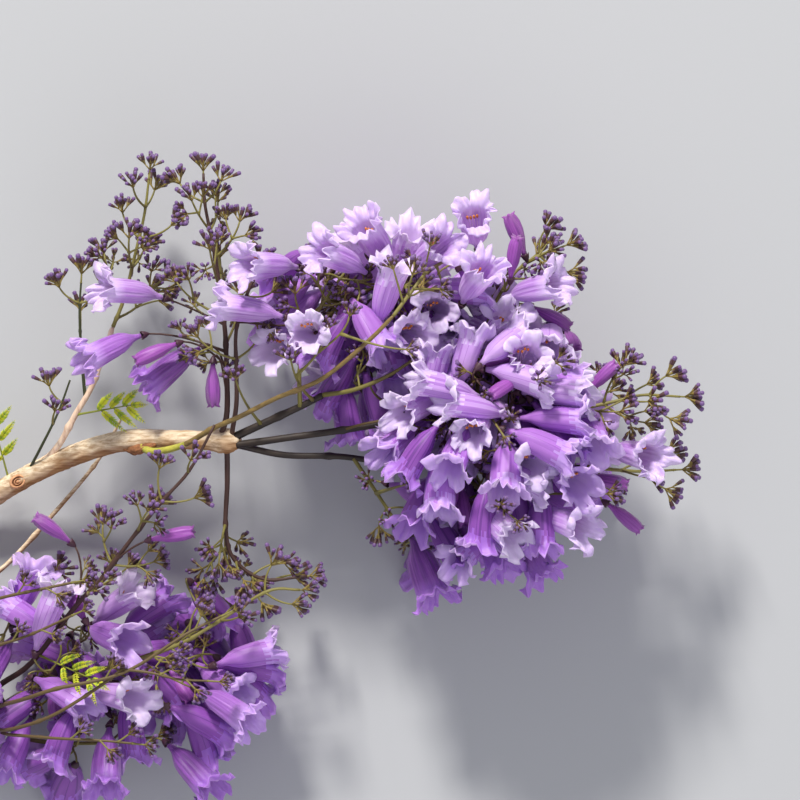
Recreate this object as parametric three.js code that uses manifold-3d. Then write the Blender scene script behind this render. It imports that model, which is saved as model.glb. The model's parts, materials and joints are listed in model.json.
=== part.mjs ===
// A flowering jacaranda branch, cut from its tree and laid on a flat surface.
// Millimetres. The surface is the XY plane and +Z is up. +Y is the way that was up while the branch grew.
// A woody bough carries thinner stems. Each stem ends in panicles: an axis with paired side twigs,
// flat clusters of small buds, and tubular flowers with five lobes.
// Every panicle is one solid with its twigs and buds. The flowers that stand out are solids of their own.

import * as THREE from "three";
import { mergeVertices } from "three/addons/utils/BufferGeometryUtils.js";
import Module from "manifold-3d";

const wasm = await Module();
wasm.setup();

// Driving sizes of one open flower, one closed flower, one bud cluster, one twig and one leaf
const OPEN_LENGTH = 44;
const SHUT_LENGTH = 27;
const LOBE_REACH = 14.5; // from the flower's axis to the tip of a lobe
const NOTCH_REACH = 11; // and to the notch between two lobes
const TUBE_RADIUS = 8.6; // the swollen part of the corolla
const NECK_RADIUS = 2.1; // the narrow foot of the corolla, inside the calyx
const SHUT_RADIUS = 4.9;
const FLATNESS = 0.86; // the tube is lower than it is wide
const DROOP = 0.16; // how far the flower's own axis bends down, as a share of its length
const CALYX_LENGTH = 3.2;
const CALYX_RADIUS = 2.3;
const TWIG_RADIUS = 0.8;
const CLUSTER_BUDS = 4;
const BUD_REACH = 9.5; // from the middle of a bud cluster to the tip of a bud
const CLUSTER_RADIUS = 6.5; // the ball that one bud cluster keeps for itself
const LEAF_HALF_WIDTH = 12;
const LEAF_THICKNESS = 1;
const LEAF_RADII = [0.9, 0.6]; // of the midrib, from its foot to its tip

// Facets
const AXIS_STEPS = 7;
const AXIS_SIDES = 4;

// Clearances between neighbouring solids
const SEAT = 0.3; // between a stem and what carries it
const CLEAR = 1.1; // between two panicles, or a panicle and a limb
const KIN = 0.8; // flowers of one panicle may crowd each other to this share of their radii
const KIN_TWIG = 0.25; // and a twig may pass its own panicle's flowers at this share
const REACH = 62; // the longest stalk that a flower hangs on

const DEGREE = Math.PI / 180;
const UP = new THREE.Vector3(0, 0, 1);
const HANG = new THREE.Vector3(0.25, -1, -0.2).normalize(); // the way a flower's mouth sags
const SPREAD = new THREE.Vector3(1, 1, 0.55); // flowers spread in the branch's plane more than out of it
const EVEN_STEPS = [0.8191725, 0.6710436, 0.5497005]; // fractions that spread points evenly in a box

// Where the middle of the drawing below lies in the part's own frame
const CENTRE_X = 64.45;
const CENTRE_Y = 50.9;

// Limbs: `on` is the limb that carries this one, and radii run from its foot to its tip
const LIMBS = [
  {
    name: "bough",
    radii: [7.0, 5.6],
    sides: 12,
    steps: 11,
    path: [
      [-305, -92, 7], [-270, -71, 16], [-240, -54, 26], [-204, -36, 40],
      [-168, -25, 54], [-132, -24, 66], [-96, -25, 75],
    ],
  },
  {
    name: "lower_limb",
    on: "bough",
    radii: [4.2, 2.6],
    sides: 8,
    steps: 10,
    path: [
      [-280, -77, 15], [-286, -103, 16], [-278, -131, 18],
      [-264, -158, 20], [-250, -178, 20], [-243, -196, 18],
    ],
  },
  {
    name: "bare_twig",
    on: "lower_limb",
    radii: [1.8, 0.9],
    sides: 6,
    steps: 10,
    path: [
      [-284, -112, 16], [-262, -113, 17], [-240, -101, 18],
      [-204, -62, 22], [-182, -35, 26], [-168, -10, 34],
    ],
  },
  {
    name: "left_shoot",
    on: "bough",
    radii: [2.1, 1.4],
    sides: 6,
    steps: 8,
    path: [
      [-218, -40, 36], [-206, -27, 44], [-196, -9, 50],
      [-186, 8, 54], [-179, 27, 57], [-173, 44, 58],
    ],
  },
  {
    name: "stub_stem",
    on: "bough",
    radii: [2.6, 1.8],
    sides: 6,
    steps: 5,
    path: [[-99, -22, 76], [-84, -15, 80], [-60, -4, 85], [-46, 3, 88]],
  },
  {
    name: "middle_stem",
    on: "bough",
    radii: [2.3, 1.4],
    sides: 6,
    steps: 10,
    path: [
      [-98, -27, 77], [-70, -23, 84], [-34, -18, 90], [2, -12, 93],
      [30, -4, 93], [60, -4, 92], [88, -6, 92],
    ],
  },
  {
    name: "lower_stem",
    on: "bough",
    radii: [2.1, 1.3],
    sides: 6,
    steps: 10,
    path: [
      [-98, -27, 71], [-70, -33, 68], [-36, -34, 68], [0, -38, 70],
      [40, -36, 76], [76, -41, 79], [112, -40, 80],
    ],
  },
  {
    name: "front_stem",
    on: "bough",
    radii: [1.8, 1.2],
    sides: 6,
    steps: 13,
    path: [
      [-158, -27, 60], [-148, -31, 70], [-130, -27, 84], [-112, -17, 95], [-96, -10, 102],
      [-74, 1, 112], [-46, 13, 124], [-19, 35, 134], [-4, 50, 137],
    ],
  },
];

// Rounded spaces that the flowers of several panicles fill together
const SPACES = [
  { name: "ridge", centre: [-10, 52, 82], radii: [86, 56, 46], count: 12, tries: 2600, seed: 4 },
  { name: "front", centre: [-8, 4, 78], radii: [54, 38, 34], count: 6, tries: 900, seed: 6 },
  { name: "ball", centre: [56, -20, 100], radii: [76, 88, 60], count: 23, tries: 5200, seed: 6 },
  { name: "spray", centre: [-185, -165, 52], radii: [125, 72, 44], count: 13, tries: 3200, seed: 1 },
];

// Panicles: `on` is the limb that carries one, and `fills` the space that its flowers help to fill.
// `pairs` places the opposite pairs of bud twigs along the axis.
// `blooms` are flowers with a place of their own, `solo` being the name of one that is its own solid.
const PANICLES = [
  {
    name: "left_panicle",
    on: "left_shoot",
    radii: [1.3, 0.7],
    path: [[-173, 44, 58], [-166, 62, 59], [-160, 86, 60], [-154, 112, 60], [-151, 136, 60]],
    pairs: { count: 5, from: 0.08, spread: 50, reach: [34, 14], roll: 70 },
  },
  {
    name: "left_sprig",
    on: "left_shoot",
    radii: [1.1, 0.6],
    path: [[-190, 2, 52], [-192, 28, 60], [-193, 54, 62], [-192, 72, 62]],
    pairs: { count: 2, from: 0.5, spread: 52, reach: [20, 13], roll: 95 },
  },
  {
    name: "low_sprig",
    on: "bough",
    radii: [1.0, 0.6],
    path: [[-226, -45, 33], [-216, -27, 48], [-206, -7, 53], [-199, 12, 55]],
    pairs: { count: 2, from: 0.55, spread: 50, reach: [15, 12], roll: 90 },
  },
  {
    name: "upright_panicle",
    on: "bough",
    radii: [1.9, 0.8],
    path: [
      [-108, -22, 74], [-104, -8, 80], [-104, 18, 84], [-105, 42, 86],
      [-108, 66, 86], [-112, 92, 86], [-117, 117, 84], [-118, 136, 84],
    ],
    pairs: { count: 6, from: 0.38, spread: 50, reach: [42, 14], roll: 75 },
    blooms: [
      { foot: [-141, 61, 76], mouth: [-180, 73, 92], solo: "bloom_left_high" },
      { foot: [-154, 39, 82], mouth: [-191, 29, 98], solo: "bloom_left_low" },
      { foot: [-118, 32, 76], mouth: [-158, 12, 74], solo: "bloom_left_droop" },
      { foot: [-112, 23, 92], mouth: [-113, -3, 92], shut: true, solo: "bloom_hanging" },
      { foot: [-133, 34, 92], mouth: [-156, 26, 94], shut: true },
    ],
  },
  {
    name: "second_upright",
    on: "bough",
    radii: [1.6, 0.8],
    path: [
      [-101, -20, 77.4], [-98, -2, 92], [-98, 18, 97],
      [-98, 42, 98], [-92, 62, 98], [-84, 80, 97],
    ],
    pairs: { count: 3, from: 0.46, spread: 55, reach: [24, 13], roll: 20 },
    blooms: [{ foot: [-68, 49, 114], mouth: [-115, 65, 118], solo: "bloom_upright" }],
  },
  {
    name: "ridge_panicle",
    on: "stub_stem",
    fills: "ridge",
    radii: [1.5, 0.8],
    path: [[-60, -4, 86], [-60, 20, 92], [-54, 44, 92], [-42, 64, 92], [-32, 78, 92]],
    pairs: { count: 3, from: 0.5, spread: 50, reach: [22, 14], roll: 40 },
    blooms: [
      { foot: [-60, 79, 100], mouth: [-93, 87, 126], solo: "bloom_ridge_left" },
      { foot: [-19, 75, 98], mouth: [-48, 96, 122], solo: "bloom_ridge_middle" },
      { foot: [-6, 78, 78], mouth: [-21, 109, 100], solo: "bloom_ridge_right" },
      { foot: [-50, 40, 98], mouth: [-58, 46, 141] },
      { foot: [-30, 62, 45.4], mouth: [-32, 72, 5.4] },
    ],
  },
  {
    name: "top_panicle",
    on: "front_stem",
    radii: [1.2, 0.8],
    path: [[-4, 50, 137], [8, 66, 134], [18, 78, 124], [34, 86, 108]],
    pairs: { count: 2, from: 0.25, spread: 55, reach: [15, 11], roll: 70 },
    blooms: [
      { foot: [9, 78, 92], mouth: [24, 99, 124], solo: "bloom_top_left" },
      { foot: [47, 90, 82], mouth: [42, 116, 114], solo: "bloom_top" },
      { foot: [37, 57, 112], mouth: [48, 83, 142], solo: "bloom_top_front" },
    ],
  },
  {
    name: "high_panicle",
    on: "middle_stem",
    fills: "ball",
    radii: [1.4, 0.7],
    path: [
      [46, -3, 92], [48, 26, 90], [54, 50, 90],
      [64, 70, 92], [78, 84, 92], [98, 92, 92],
    ],
    pairs: { count: 3, from: 0.64, spread: 50, reach: [24, 15], roll: 10 },
    blooms: [
      { foot: [75, 86, 98], mouth: [67, 108, 100], shut: true, solo: "bloom_shut_high" },
      { foot: [66, 72, 108], mouth: [68, 95, 114], shut: true },
      { foot: [56, 40, 47], mouth: [64, 50, 7] },
      { foot: [62, 60, 98], mouth: [93, 75, 122], solo: "bloom_high" },
      { foot: [78, 56, 94], mouth: [103, 45, 94], shut: true, solo: "bloom_shut_right" },
    ],
  },
  {
    name: "front_panicle",
    on: "stub_stem",
    fills: "front",
    radii: [1.6, 0.9],
    path: [[-46, 3, 88], [-28, 6, 98], [-8, 14, 104], [8, 24, 106]],
  },
  {
    name: "middle_panicle",
    on: "middle_stem",
    fills: "ball",
    radii: [1.5, 0.9],
    path: [[30, -4, 94], [46, 2, 102], [62, 8, 108], [78, 14, 110]],
  },
  {
    name: "right_panicle",
    on: "middle_stem",
    radii: [1.4, 0.7],
    path: [[88, -6, 92], [108, -5, 92], [128, -1, 92], [146, 3, 92], [168, 2, 90]],
    pairs: { count: 4, from: 0.24, spread: 46, reach: [30, 14], roll: 100 },
    blooms: [
      { foot: [125, -30, 84], mouth: [150, -29, 118], solo: "bloom_right" },
      { foot: [112, 4, 96], mouth: [126, 20, 98], shut: true },
    ],
  },
  {
    name: "low_right_panicle",
    on: "lower_stem",
    radii: [1.3, 0.7],
    path: [[112, -40, 80], [130, -42, 77], [148, -43, 74], [166, -42, 72]],
    pairs: { count: 2, from: 0.4, spread: 48, reach: [18, 12], roll: 100 },
    blooms: [
      { foot: [110, -46, 94], mouth: [134, -49, 96], shut: true, solo: "bloom_shut_low" },
      { foot: [124, -62, 74], mouth: [144, -76, 72], shut: true },
    ],
  },
  {
    name: "drooping_panicle",
    on: "lower_stem",
    fills: "ball",
    radii: [1.3, 0.8],
    path: [[-28, -35, 69], [-14, -56, 66], [-2, -74, 62], [6, -84, 60]],
    pairs: { count: 2, from: 0.5, spread: 60, reach: [14, 12], roll: 10 },
    blooms: [
      { foot: [6, -81, 76], mouth: [24, -119, 88], solo: "bloom_low_left" },
      { foot: [-8, -50, 82], mouth: [26, -58, 96] },
      { foot: [10, -90, 48], mouth: [14, -98, 9] },
    ],
  },
  {
    name: "low_front_panicle",
    on: "lower_stem",
    fills: "ball",
    radii: [1.4, 0.8],
    path: [[34, -37, 76], [42, -48, 88], [50, -56, 96]],
    blooms: [
      { foot: [48, -63, 96], mouth: [63, -101, 110], solo: "bloom_low_middle" },
      { foot: [67, -71, 84], mouth: [89, -105, 100], solo: "bloom_low_right" },
      { foot: [78, -67, 104], mouth: [111, -72, 130], solo: "bloom_side" },
    ],
  },
  {
    name: "back_right_panicle",
    on: "middle_stem",
    fills: "ball",
    radii: [1.4, 0.8],
    path: [[58, -4, 91], [66, -8, 72], [72, -14, 58], [76, -22, 48]],
    blooms: [{ foot: [104, -40, 47], mouth: [114, -48, 8] }],
  },
  {
    name: "hanging_panicle",
    on: "bough",
    radii: [1.8, 0.8],
    path: [
      [-104, -27, 72], [-104, -50, 64], [-105, -78, 60],
      [-100, -96, 58], [-82, -108, 58], [-56, -106, 58],
    ],
    pairs: { count: 5, from: 0.38, spread: 52, reach: [28, 14], roll: 95 },
  },
  {
    name: "rising_panicle",
    on: "lower_limb",
    radii: [2.0, 0.8],
    path: [
      [-250, -178, 20], [-240, -171, 28], [-222, -158, 44], [-196, -125, 64], [-180, -108, 74],
      [-160, -82, 84], [-143, -61, 90], [-126, -42, 94], [-111, -15, 100],
    ],
    pairs: { count: 5, from: 0.44, spread: 50, reach: [28, 12], roll: 85 },
    blooms: [
      { foot: [-150, -84, 90], mouth: [-123, -77, 94], shut: true },
      { foot: [-198, -86, 66], mouth: [-219, -69, 68], shut: true, solo: "bloom_shut_left" },
    ],
  },
  {
    name: "level_panicle",
    on: "lower_limb",
    fills: "spray",
    radii: [1.8, 0.8],
    path: [
      [-246, -188, 20], [-226, -176, 34], [-206, -170, 48], [-165, -158, 64],
      [-133, -147, 72], [-112, -135, 76], [-80, -115, 80], [-60, -114, 80],
    ],
    pairs: { count: 4, from: 0.5, spread: 52, reach: [24, 13], roll: 100 },
    blooms: [
      { foot: [-123, -174, 74], mouth: [-87, -189, 92], solo: "bloom_lower_side" },
      { foot: [-112, -160, 70], mouth: [-81, -147, 66] },
      { foot: [-120, -140, 47], mouth: [-112, -150, 8] },
    ],
  },
  {
    name: "floor_panicle",
    on: "lower_limb",
    fills: "spray",
    radii: [1.6, 0.8],
    path: [[-242, -196, 16], [-224, -206, 18], [-198, -208, 24], [-170, -207, 34], [-150, -204, 40]],
    pairs: { count: 1, from: 0.7, spread: 50, reach: [16, 12], roll: 60 },
    blooms: [
      { foot: [-175, -196, 54], mouth: [-180, -231, 76], solo: "bloom_lower_left" },
      { foot: [-141, -207, 52], mouth: [-111, -231, 70], solo: "bloom_lower_front" },
      { foot: [-196, -220, 46], mouth: [-206, -232, 9] },
    ],
  },
  {
    name: "inner_panicle",
    on: "lower_limb",
    fills: "spray",
    radii: [1.6, 0.8],
    path: [[-280, -126, 18], [-258, -124, 24], [-240, -120, 30], [-218, -115, 36], [-196, -111, 40]],
    pairs: { count: 1, from: 0.8, spread: 50, reach: [16, 12], roll: 60 },
  },
];

// Young leaves: foot, tip, and how many pairs of pinnae stand on the midrib
const LEAVES = [
  { name: "leaf_outer", on: "bough", foot: [-236, -52, 26], tip: [-246, -12, 44], pinnae: 3 },
  { name: "leaf_shoot", on: "left_shoot", foot: [-196, -9, 50], tip: [-162, -3, 62], pinnae: 3 },
  { name: "leaf_lower", on: "rising_panicle", foot: [-218, -154, 47], tip: [-184, -168, 80], pinnae: 3 },
];

// Small vector helpers
const point = (p) => new THREE.Vector3(...p);
const along = (from, direction, distance) => from.clone().addScaledVector(direction, distance);
const heading = (from, to) => to.clone().sub(from).normalize();
const spline = (path) => new THREE.CatmullRomCurve3(path.map(point), false, "catmullrom", 0.5);

// The point at t on the straight steps that a curve is drawn with
function onSteps(curve, steps, t) {
  const i = Math.min(steps - 1, Math.floor(t * steps));
  return curve.getPoint(i / steps).lerp(curve.getPoint((i + 1) / steps), t * steps - i);
}

// Repeatable random numbers between 0 and 1
function dice(seed) {
  let state = seed * 7919 + 12345;
  return () => {
    state = (state * 16807) % 2147483647;
    return state / 2147483647;
  };
}

// A unit vector square to d, and d tilted by an angle towards a turn about itself
function across(d) {
  const reference = Math.abs(d.z) < 0.9 ? UP : new THREE.Vector3(1, 0, 0);
  return new THREE.Vector3().crossVectors(d, reference).normalize();
}

function tilted(d, angle, turn) {
  const a = across(d);
  const b = new THREE.Vector3().crossVectors(d, a);
  const side = a.multiplyScalar(Math.cos(turn)).addScaledVector(b, Math.sin(turn));
  return d.clone().multiplyScalar(Math.cos(angle)).addScaledVector(side, Math.sin(angle)).normalize();
}

// The way in which a flower's mouth sags, square to the flower
const sagOf = (d) => along(HANG, d, -HANG.dot(d)).normalize();

const lengthOf = (flower) => (flower.shut ? SHUT_LENGTH : OPEN_LENGTH);

function flowerPoint(flower, s) {
  const length = lengthOf(flower);
  const bend = (flower.shut ? 0.4 : 1) * DROOP * length * s * s;
  return along(along(flower.foot, flower.direction, length * s), sagOf(flower.direction), bend);
}

// What is taken up so far, as round-ended rods
const taken = [];
const take = (a, b, r, owner) => taken.push({ a, b, r, owner });

const takeTwig = (from, to, owner) => take(from, to, TWIG_RADIUS, owner);

function takeCurve(curve, steps, radii, owner) {
  for (let i = 0; i < steps; i++) {
    const r = THREE.MathUtils.lerp(radii[0], radii[1], i / steps);
    take(curve.getPoint(i / steps), curve.getPoint((i + 1) / steps), r, owner);
  }
}

function distanceToRod(p, rod) {
  const span = rod.b.clone().sub(rod.a);
  const reach = span.lengthSq();
  const t = reach > 0 ? Math.min(1, Math.max(0, p.clone().sub(rod.a).dot(span) / reach)) : 0;
  return p.distanceTo(along(rod.a, span, t));
}

// Whether balls stand above the surface and clear of every rod.
// The owner's own rods may come nearer, by a share.
function isFree(balls, owner, share) {
  return balls.every(
    ({ p, r }) =>
      p.z >= r + 0.5 &&
      taken.every((rod) => {
        const reach = r + rod.r;
        const least = rod.owner === owner ? reach * share : reach + CLEAR;
        return distanceToRod(p, rod) >= least;
      }),
  );
}

// Balls along a twig, from a little past its root
function twigBalls(from, to) {
  return [0.3, 0.44, 0.58, 0.72, 0.86, 1].map((t) => ({ p: from.clone().lerp(to, t), r: TWIG_RADIUS }));
}

function flowerBalls(flower) {
  const sizes = flower.shut ? [[0.4, 3.2], [0.8, 4.6]] : [[0.34, 5.5], [0.6, 9], [0.87, 14]];
  return sizes.map(([s, r]) => ({ p: flowerPoint(flower, s), r }));
}

function takeFlower(flower, owner) {
  const [low, high] = flower.shut ? [3.2, 4.8] : [5.5, 9];
  take(flower.foot, flowerPoint(flower, 0.3), NECK_RADIUS + 0.5, owner);
  take(flowerPoint(flower, 0.3), flowerPoint(flower, 0.6), low, owner);
  take(flowerPoint(flower, 0.5), flowerPoint(flower, 0.75), high, owner);
  if (!flower.shut) take(flowerPoint(flower, 0.87), flowerPoint(flower, 0.9), 14, owner);
}

// The skeleton of one panicle: its axis, and room for twigs, flowers, bud clusters and
// the points from which further twigs may leave
function sprout(panicle) {
  const axis = spline(panicle.path);
  const at = (t) => onSteps(axis, AXIS_STEPS, t);
  const taps = [0.3, 0.4, 0.5, 0.6, 0.7, 0.8, 0.9, 0.98].map(at);
  return { ...panicle, axis, at, taps, flowers: [], clusters: [] };
}

const heelOf = (flower) => along(flower.foot, flower.direction, -CALYX_LENGTH);

// `from` is where the flower's stalk leaves the panicle, and its heel is where the stalk meets the calyx
function hangFlower(plant, flower, from) {
  const heel = heelOf(flower);
  plant.flowers.push({ ...flower, from });
  plant.taps.push(from.clone().lerp(heel, 0.5));
  takeTwig(from, heel, plant.name);
  takeFlower(flower, flower.solo ?? plant.name);
}

function nearestTap(plant, p) {
  return plant.taps.reduce((best, tap) => (tap.distanceTo(p) < best.distanceTo(p) ? tap : best));
}

// A flower with a place of its own hangs on a twig that leaves the axis a little before the nearest point
function addBloom(plant, { foot, mouth, shut, solo }) {
  const base = point(foot);
  const samples = Array.from({ length: 21 }, (_, i) => i / 20);
  const gaps = samples.map((t) => plant.at(t).distanceTo(base));
  const t = Math.max(0.05, samples[gaps.indexOf(Math.min(...gaps))] - 0.1);
  const flower = { foot: base, direction: heading(base, point(mouth)), shut: Boolean(shut), solo };
  hangFlower(plant, flower, plant.at(t));
}

// A twig with a bud cluster on its tip, if there is room for it
function addCluster(plant, from, direction, lean, length) {
  const tip = along(from, direction, length);
  const arriving = direction.clone().multiplyScalar(0.6).addScaledVector(lean, 0.5).normalize();
  const middle = along(tip, arriving, 0.5 * BUD_REACH);
  if (!isFree(twigBalls(from, tip), plant.name, 0)) return;
  if (!isFree([{ p: middle, r: CLUSTER_RADIUS }], plant.name, KIN)) return;
  plant.clusters.push({ from, tip, direction: arriving });
  takeTwig(from, tip, plant.name);
  take(tip, middle, CLUSTER_RADIUS, plant.name);
}

// Pairs of side twigs, each pair a quarter turn on from the last
function addPairs(plant, roll) {
  const { count, from, spread, reach, roll: start } = plant.pairs;
  for (let i = 0; i < count; i++) {
    const share = i / count;
    const t = from + (0.97 - from) * share;
    const tangent = plant.axis.getTangent(t);
    for (const side of [0, 180]) {
      const turn = (start + side + 90 * i + 24 * (roll() - 0.5)) * DEGREE;
      const length = THREE.MathUtils.lerp(reach[0], reach[1], share) * (0.85 + 0.3 * roll());
      const direction = tilted(tangent, (spread + 16 * (roll() - 0.5)) * DEGREE, turn);
      addCluster(plant, plant.at(t), direction, tangent, length);
    }
  }
  addCluster(plant, plant.at(0.97), plant.axis.getTangent(1), plant.axis.getTangent(1), 6);
}

// Flowers that fill a rounded space: each candidate looks outwards, and hangs from the nearest twig
function fill(space, plants) {
  const roll = dice(space.seed);
  const radii = point(space.radii);
  let opened = 0;
  for (let k = 1; k <= space.tries && opened < space.count; k++) {
    const unit = point(EVEN_STEPS.map((step) => 2 * ((k * step) % 1) - 1));
    const stray = new THREE.Vector3(roll() - 0.5, roll() - 0.5, roll() - 0.5);
    if (unit.length() > 1) continue;
    const mouth = unit.clone().multiply(radii).add(point(space.centre));
    const outward = unit.clone().multiply(SPREAD).normalize();
    const direction = along(along(outward, HANG, 0.3), stray, 0.9).normalize();
    const flower = { foot: along(mouth, direction, -OPEN_LENGTH), direction, shut: false };
    const heel = heelOf(flower);
    const nearness = plants.map((plant) => nearestTap(plant, heel).distanceTo(heel));
    const plant = plants[nearness.indexOf(Math.min(...nearness))];
    const tap = nearestTap(plant, heel);
    if (tap.distanceTo(heel) > REACH || tap.distanceTo(heel) < 3) continue;
    if (!isFree(flowerBalls(flower), plant.name, KIN)) continue;
    if (!isFree(twigBalls(tap, heel), plant.name, KIN_TWIG)) continue;
    hangFlower(plant, flower, tap);
    opened += 1;
  }
}

// Everything is placed before any solid is made.
// The order is limbs, leaves, axes, placed flowers, bud twigs, then the filled spaces.
function growAll() {
  for (const limb of LIMBS) takeCurve(spline(limb.path), limb.steps, limb.radii, limb.name);
  for (const leaf of LEAVES) take(point(leaf.foot), point(leaf.tip), LEAF_HALF_WIDTH, leaf.name);
  const plants = PANICLES.map(sprout);
  for (const plant of plants) takeCurve(plant.axis, AXIS_STEPS, plant.radii, plant.name);
  for (const plant of plants) plant.blooms?.forEach((bloom) => addBloom(plant, bloom));
  plants.forEach((plant, i) => plant.pairs && addPairs(plant, dice(i + 1)));
  for (const space of SPACES) fill(space, plants.filter((plant) => plant.fills === space.name));
  return plants;
}

// A closed shape as a solid; `largest` drops a scrap that a cut leaves behind
function solid(geometry) {
  geometry.deleteAttribute("normal");
  geometry.deleteAttribute("uv");
  const merged = mergeVertices(geometry, 1e-4);
  return new wasm.Manifold(
    new wasm.Mesh({
      numProp: 3,
      vertProperties: Float32Array.from(merged.attributes.position.array),
      triVerts: Uint32Array.from(merged.index.array),
    }),
  );
}

function largest(whole) {
  return whole.decompose().reduce((best, part) => (part.volume() > best.volume() ? part : best));
}

// Bends an upright shape: `place` gives the centre, tangent and one side for each height
function bent(geometry, place) {
  const position = geometry.attributes.position;
  for (let i = 0; i < position.count; i++) {
    const [x, y, z] = [position.getX(i), position.getY(i), position.getZ(i)];
    const { centre, tangent, side } = place(y);
    const lift = new THREE.Vector3().crossVectors(side, tangent);
    const moved = along(along(centre, side, x), lift, z);
    position.setXYZ(i, moved.x, moved.y, moved.z);
  }
  return geometry;
}

// A tapering round limb along a curve, grown on all sides by `extra`
function tube(curve, radii, sides, steps, extra = 0) {
  const [foot, tip] = radii.map((r) => r + extra);
  const reference = across(heading(curve.getPoint(0), curve.getPoint(1)));
  return bent(new THREE.CylinderGeometry(tip, foot, 1, sides, steps), (y) => {
    const t = Math.min(1, Math.max(0, y + 0.5));
    const tangent = curve.getTangent(t);
    const beyond = t === 0 ? -extra : t === 1 ? extra : 0;
    const side = new THREE.Vector3().crossVectors(tangent, reference).normalize();
    return { centre: along(curve.getPoint(t), tangent, beyond), tangent, side };
  });
}

// A twig with something on its tip, turned as one shape. `outline` gives [radius, height over the tip],
// `shape` may move its corners, and `place` bends what lies past the tip.
function sprig(outline, sides, from, tip, shape, place) {
  const twig = heading(from, tip);
  const reach = from.distanceTo(tip);
  const lifted = outline.map(([r, y]) => new THREE.Vector2(r, reach + y));
  const profile = [new THREE.Vector2(0, 0), new THREE.Vector2(TWIG_RADIUS, 0), ...lifted];
  const upright = new THREE.LatheGeometry(profile, sides).translate(0, -reach, 0);
  const side = place(0).side;
  const rootSide = along(side, twig, -side.dot(twig)).normalize();
  return bent(shape(upright), (y) =>
    y < -0.01 ? { centre: along(tip, twig, y), tangent: twig, side: rootSide } : place(y),
  );
}

// The corolla as [share of its length, radius]: out to the lobes and back down its throat
const SOLO_PROFILE = [
  [0.16, NECK_RADIUS + 0.3],
  [0.43, 0.95 * TUBE_RADIUS],
  [0.75, TUBE_RADIUS],
  [1, LOBE_REACH],
  [0.57, 0],
];
const FUSED_PROFILE = [
  [0.16, NECK_RADIUS + 0.3],
  [0.5, TUBE_RADIUS],
  [1, LOBE_REACH],
  [0.57, 0],
];
const SHUT_PROFILE = [
  [0.3, NECK_RADIUS + 0.4],
  [0.66, SHUT_RADIUS],
  [0.93, 0.86 * SHUT_RADIUS],
  [1, 0],
];
const profileOf = (flower) => {
  const open = flower.solo ? SOLO_PROFILE : FUSED_PROFILE;
  return (flower.shut ? SHUT_PROFILE : open).map(([s, r]) => [r, s * lengthOf(flower)]);
};

// Flattens a corolla. With ten corners it draws in every second one of the rim, a notch between two lobes.
function lobed(upright, length, sides) {
  const position = upright.attributes.position;
  for (let i = 0; i < position.count; i++) {
    const [x, y, z] = [position.getX(i), position.getY(i), position.getZ(i)];
    const corner = Math.round(Math.atan2(x, z) / (36 * DEGREE));
    const notch = sides === 10 && Math.abs(y - length) < 0.01 && corner % 2 !== 0;
    const drawn = notch ? NOTCH_REACH / LOBE_REACH : 1;
    position.setXYZ(i, x * drawn, notch ? 0.93 * length : y, z * drawn * FLATNESS);
  }
  return upright;
}

// Where a flower's own axis is at a height over its foot
function flowerPlace(flower, y) {
  const s = y / lengthOf(flower);
  const tangent = heading(flowerPoint(flower, s - 0.01), flowerPoint(flower, s + 0.01));
  const side = new THREE.Vector3().crossVectors(sagOf(flower.direction), flower.direction);
  return { centre: flowerPoint(flower, s), tangent, side };
}

// A flower of its own has two corners to each lobe and stands on its calyx
function soloFlower(flower) {
  const sides = flower.shut ? 5 : 10;
  const profile = [[0, 0], [NECK_RADIUS - 0.3, 0], ...profileOf(flower)];
  const turned = new THREE.LatheGeometry(profile.map((p) => new THREE.Vector2(...p)), sides);
  const upright = lobed(turned, lengthOf(flower), sides);
  return bent(upright, (y) => flowerPlace(flower, y));
}

// A fused flower has one corner to each lobe and is turned as one shape with its stalk
function fusedFlower(flower) {
  const outline = profileOf(flower).map(([r, y]) => [r, y + CALYX_LENGTH]);
  const length = lengthOf(flower) + CALYX_LENGTH;
  const shape = (upright) => lobed(upright, length, 5);
  const place = (y) => flowerPlace(flower, y - CALYX_LENGTH);
  return sprig([[TWIG_RADIUS, 0], ...outline], 5, flower.from, heelOf(flower), shape, place);
}

const unchanged = (upright) => upright;

// The stalk and the calyx of a flower of its own end just short of it
function stalk(flower) {
  const rim = CALYX_LENGTH - SEAT;
  const outline = [[TWIG_RADIUS, 0], [CALYX_RADIUS, rim], [0, rim]];
  const place = (y) => flowerPlace(flower, y - CALYX_LENGTH);
  return sprig(outline, 4, flower.from, heelOf(flower), unchanged, place);
}

// A bud cluster on its twig: a ring of buds, one at each corner of a hollow cup
function budCup({ from, tip, direction }) {
  const outline = [[TWIG_RADIUS, 0], [0.75 * BUD_REACH, 0.85 * BUD_REACH], [0, 0.35 * BUD_REACH]];
  const side = across(direction);
  const place = (y) => ({ centre: along(tip, direction, y), tangent: direction, side });
  return sprig(outline, CLUSTER_BUDS, from, tip, unchanged, place);
}

function panicleSolid(plant, carrier) {
  const parts = [tube(plant.axis, plant.radii, AXIS_SIDES, AXIS_STEPS)];
  parts.push(...plant.clusters.map(budCup));
  for (const flower of plant.flowers) parts.push(flower.solo ? stalk(flower) : fusedFlower(flower));
  return largest(wasm.Manifold.union(parts.map(solid)).subtract(carrier));
}

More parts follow.
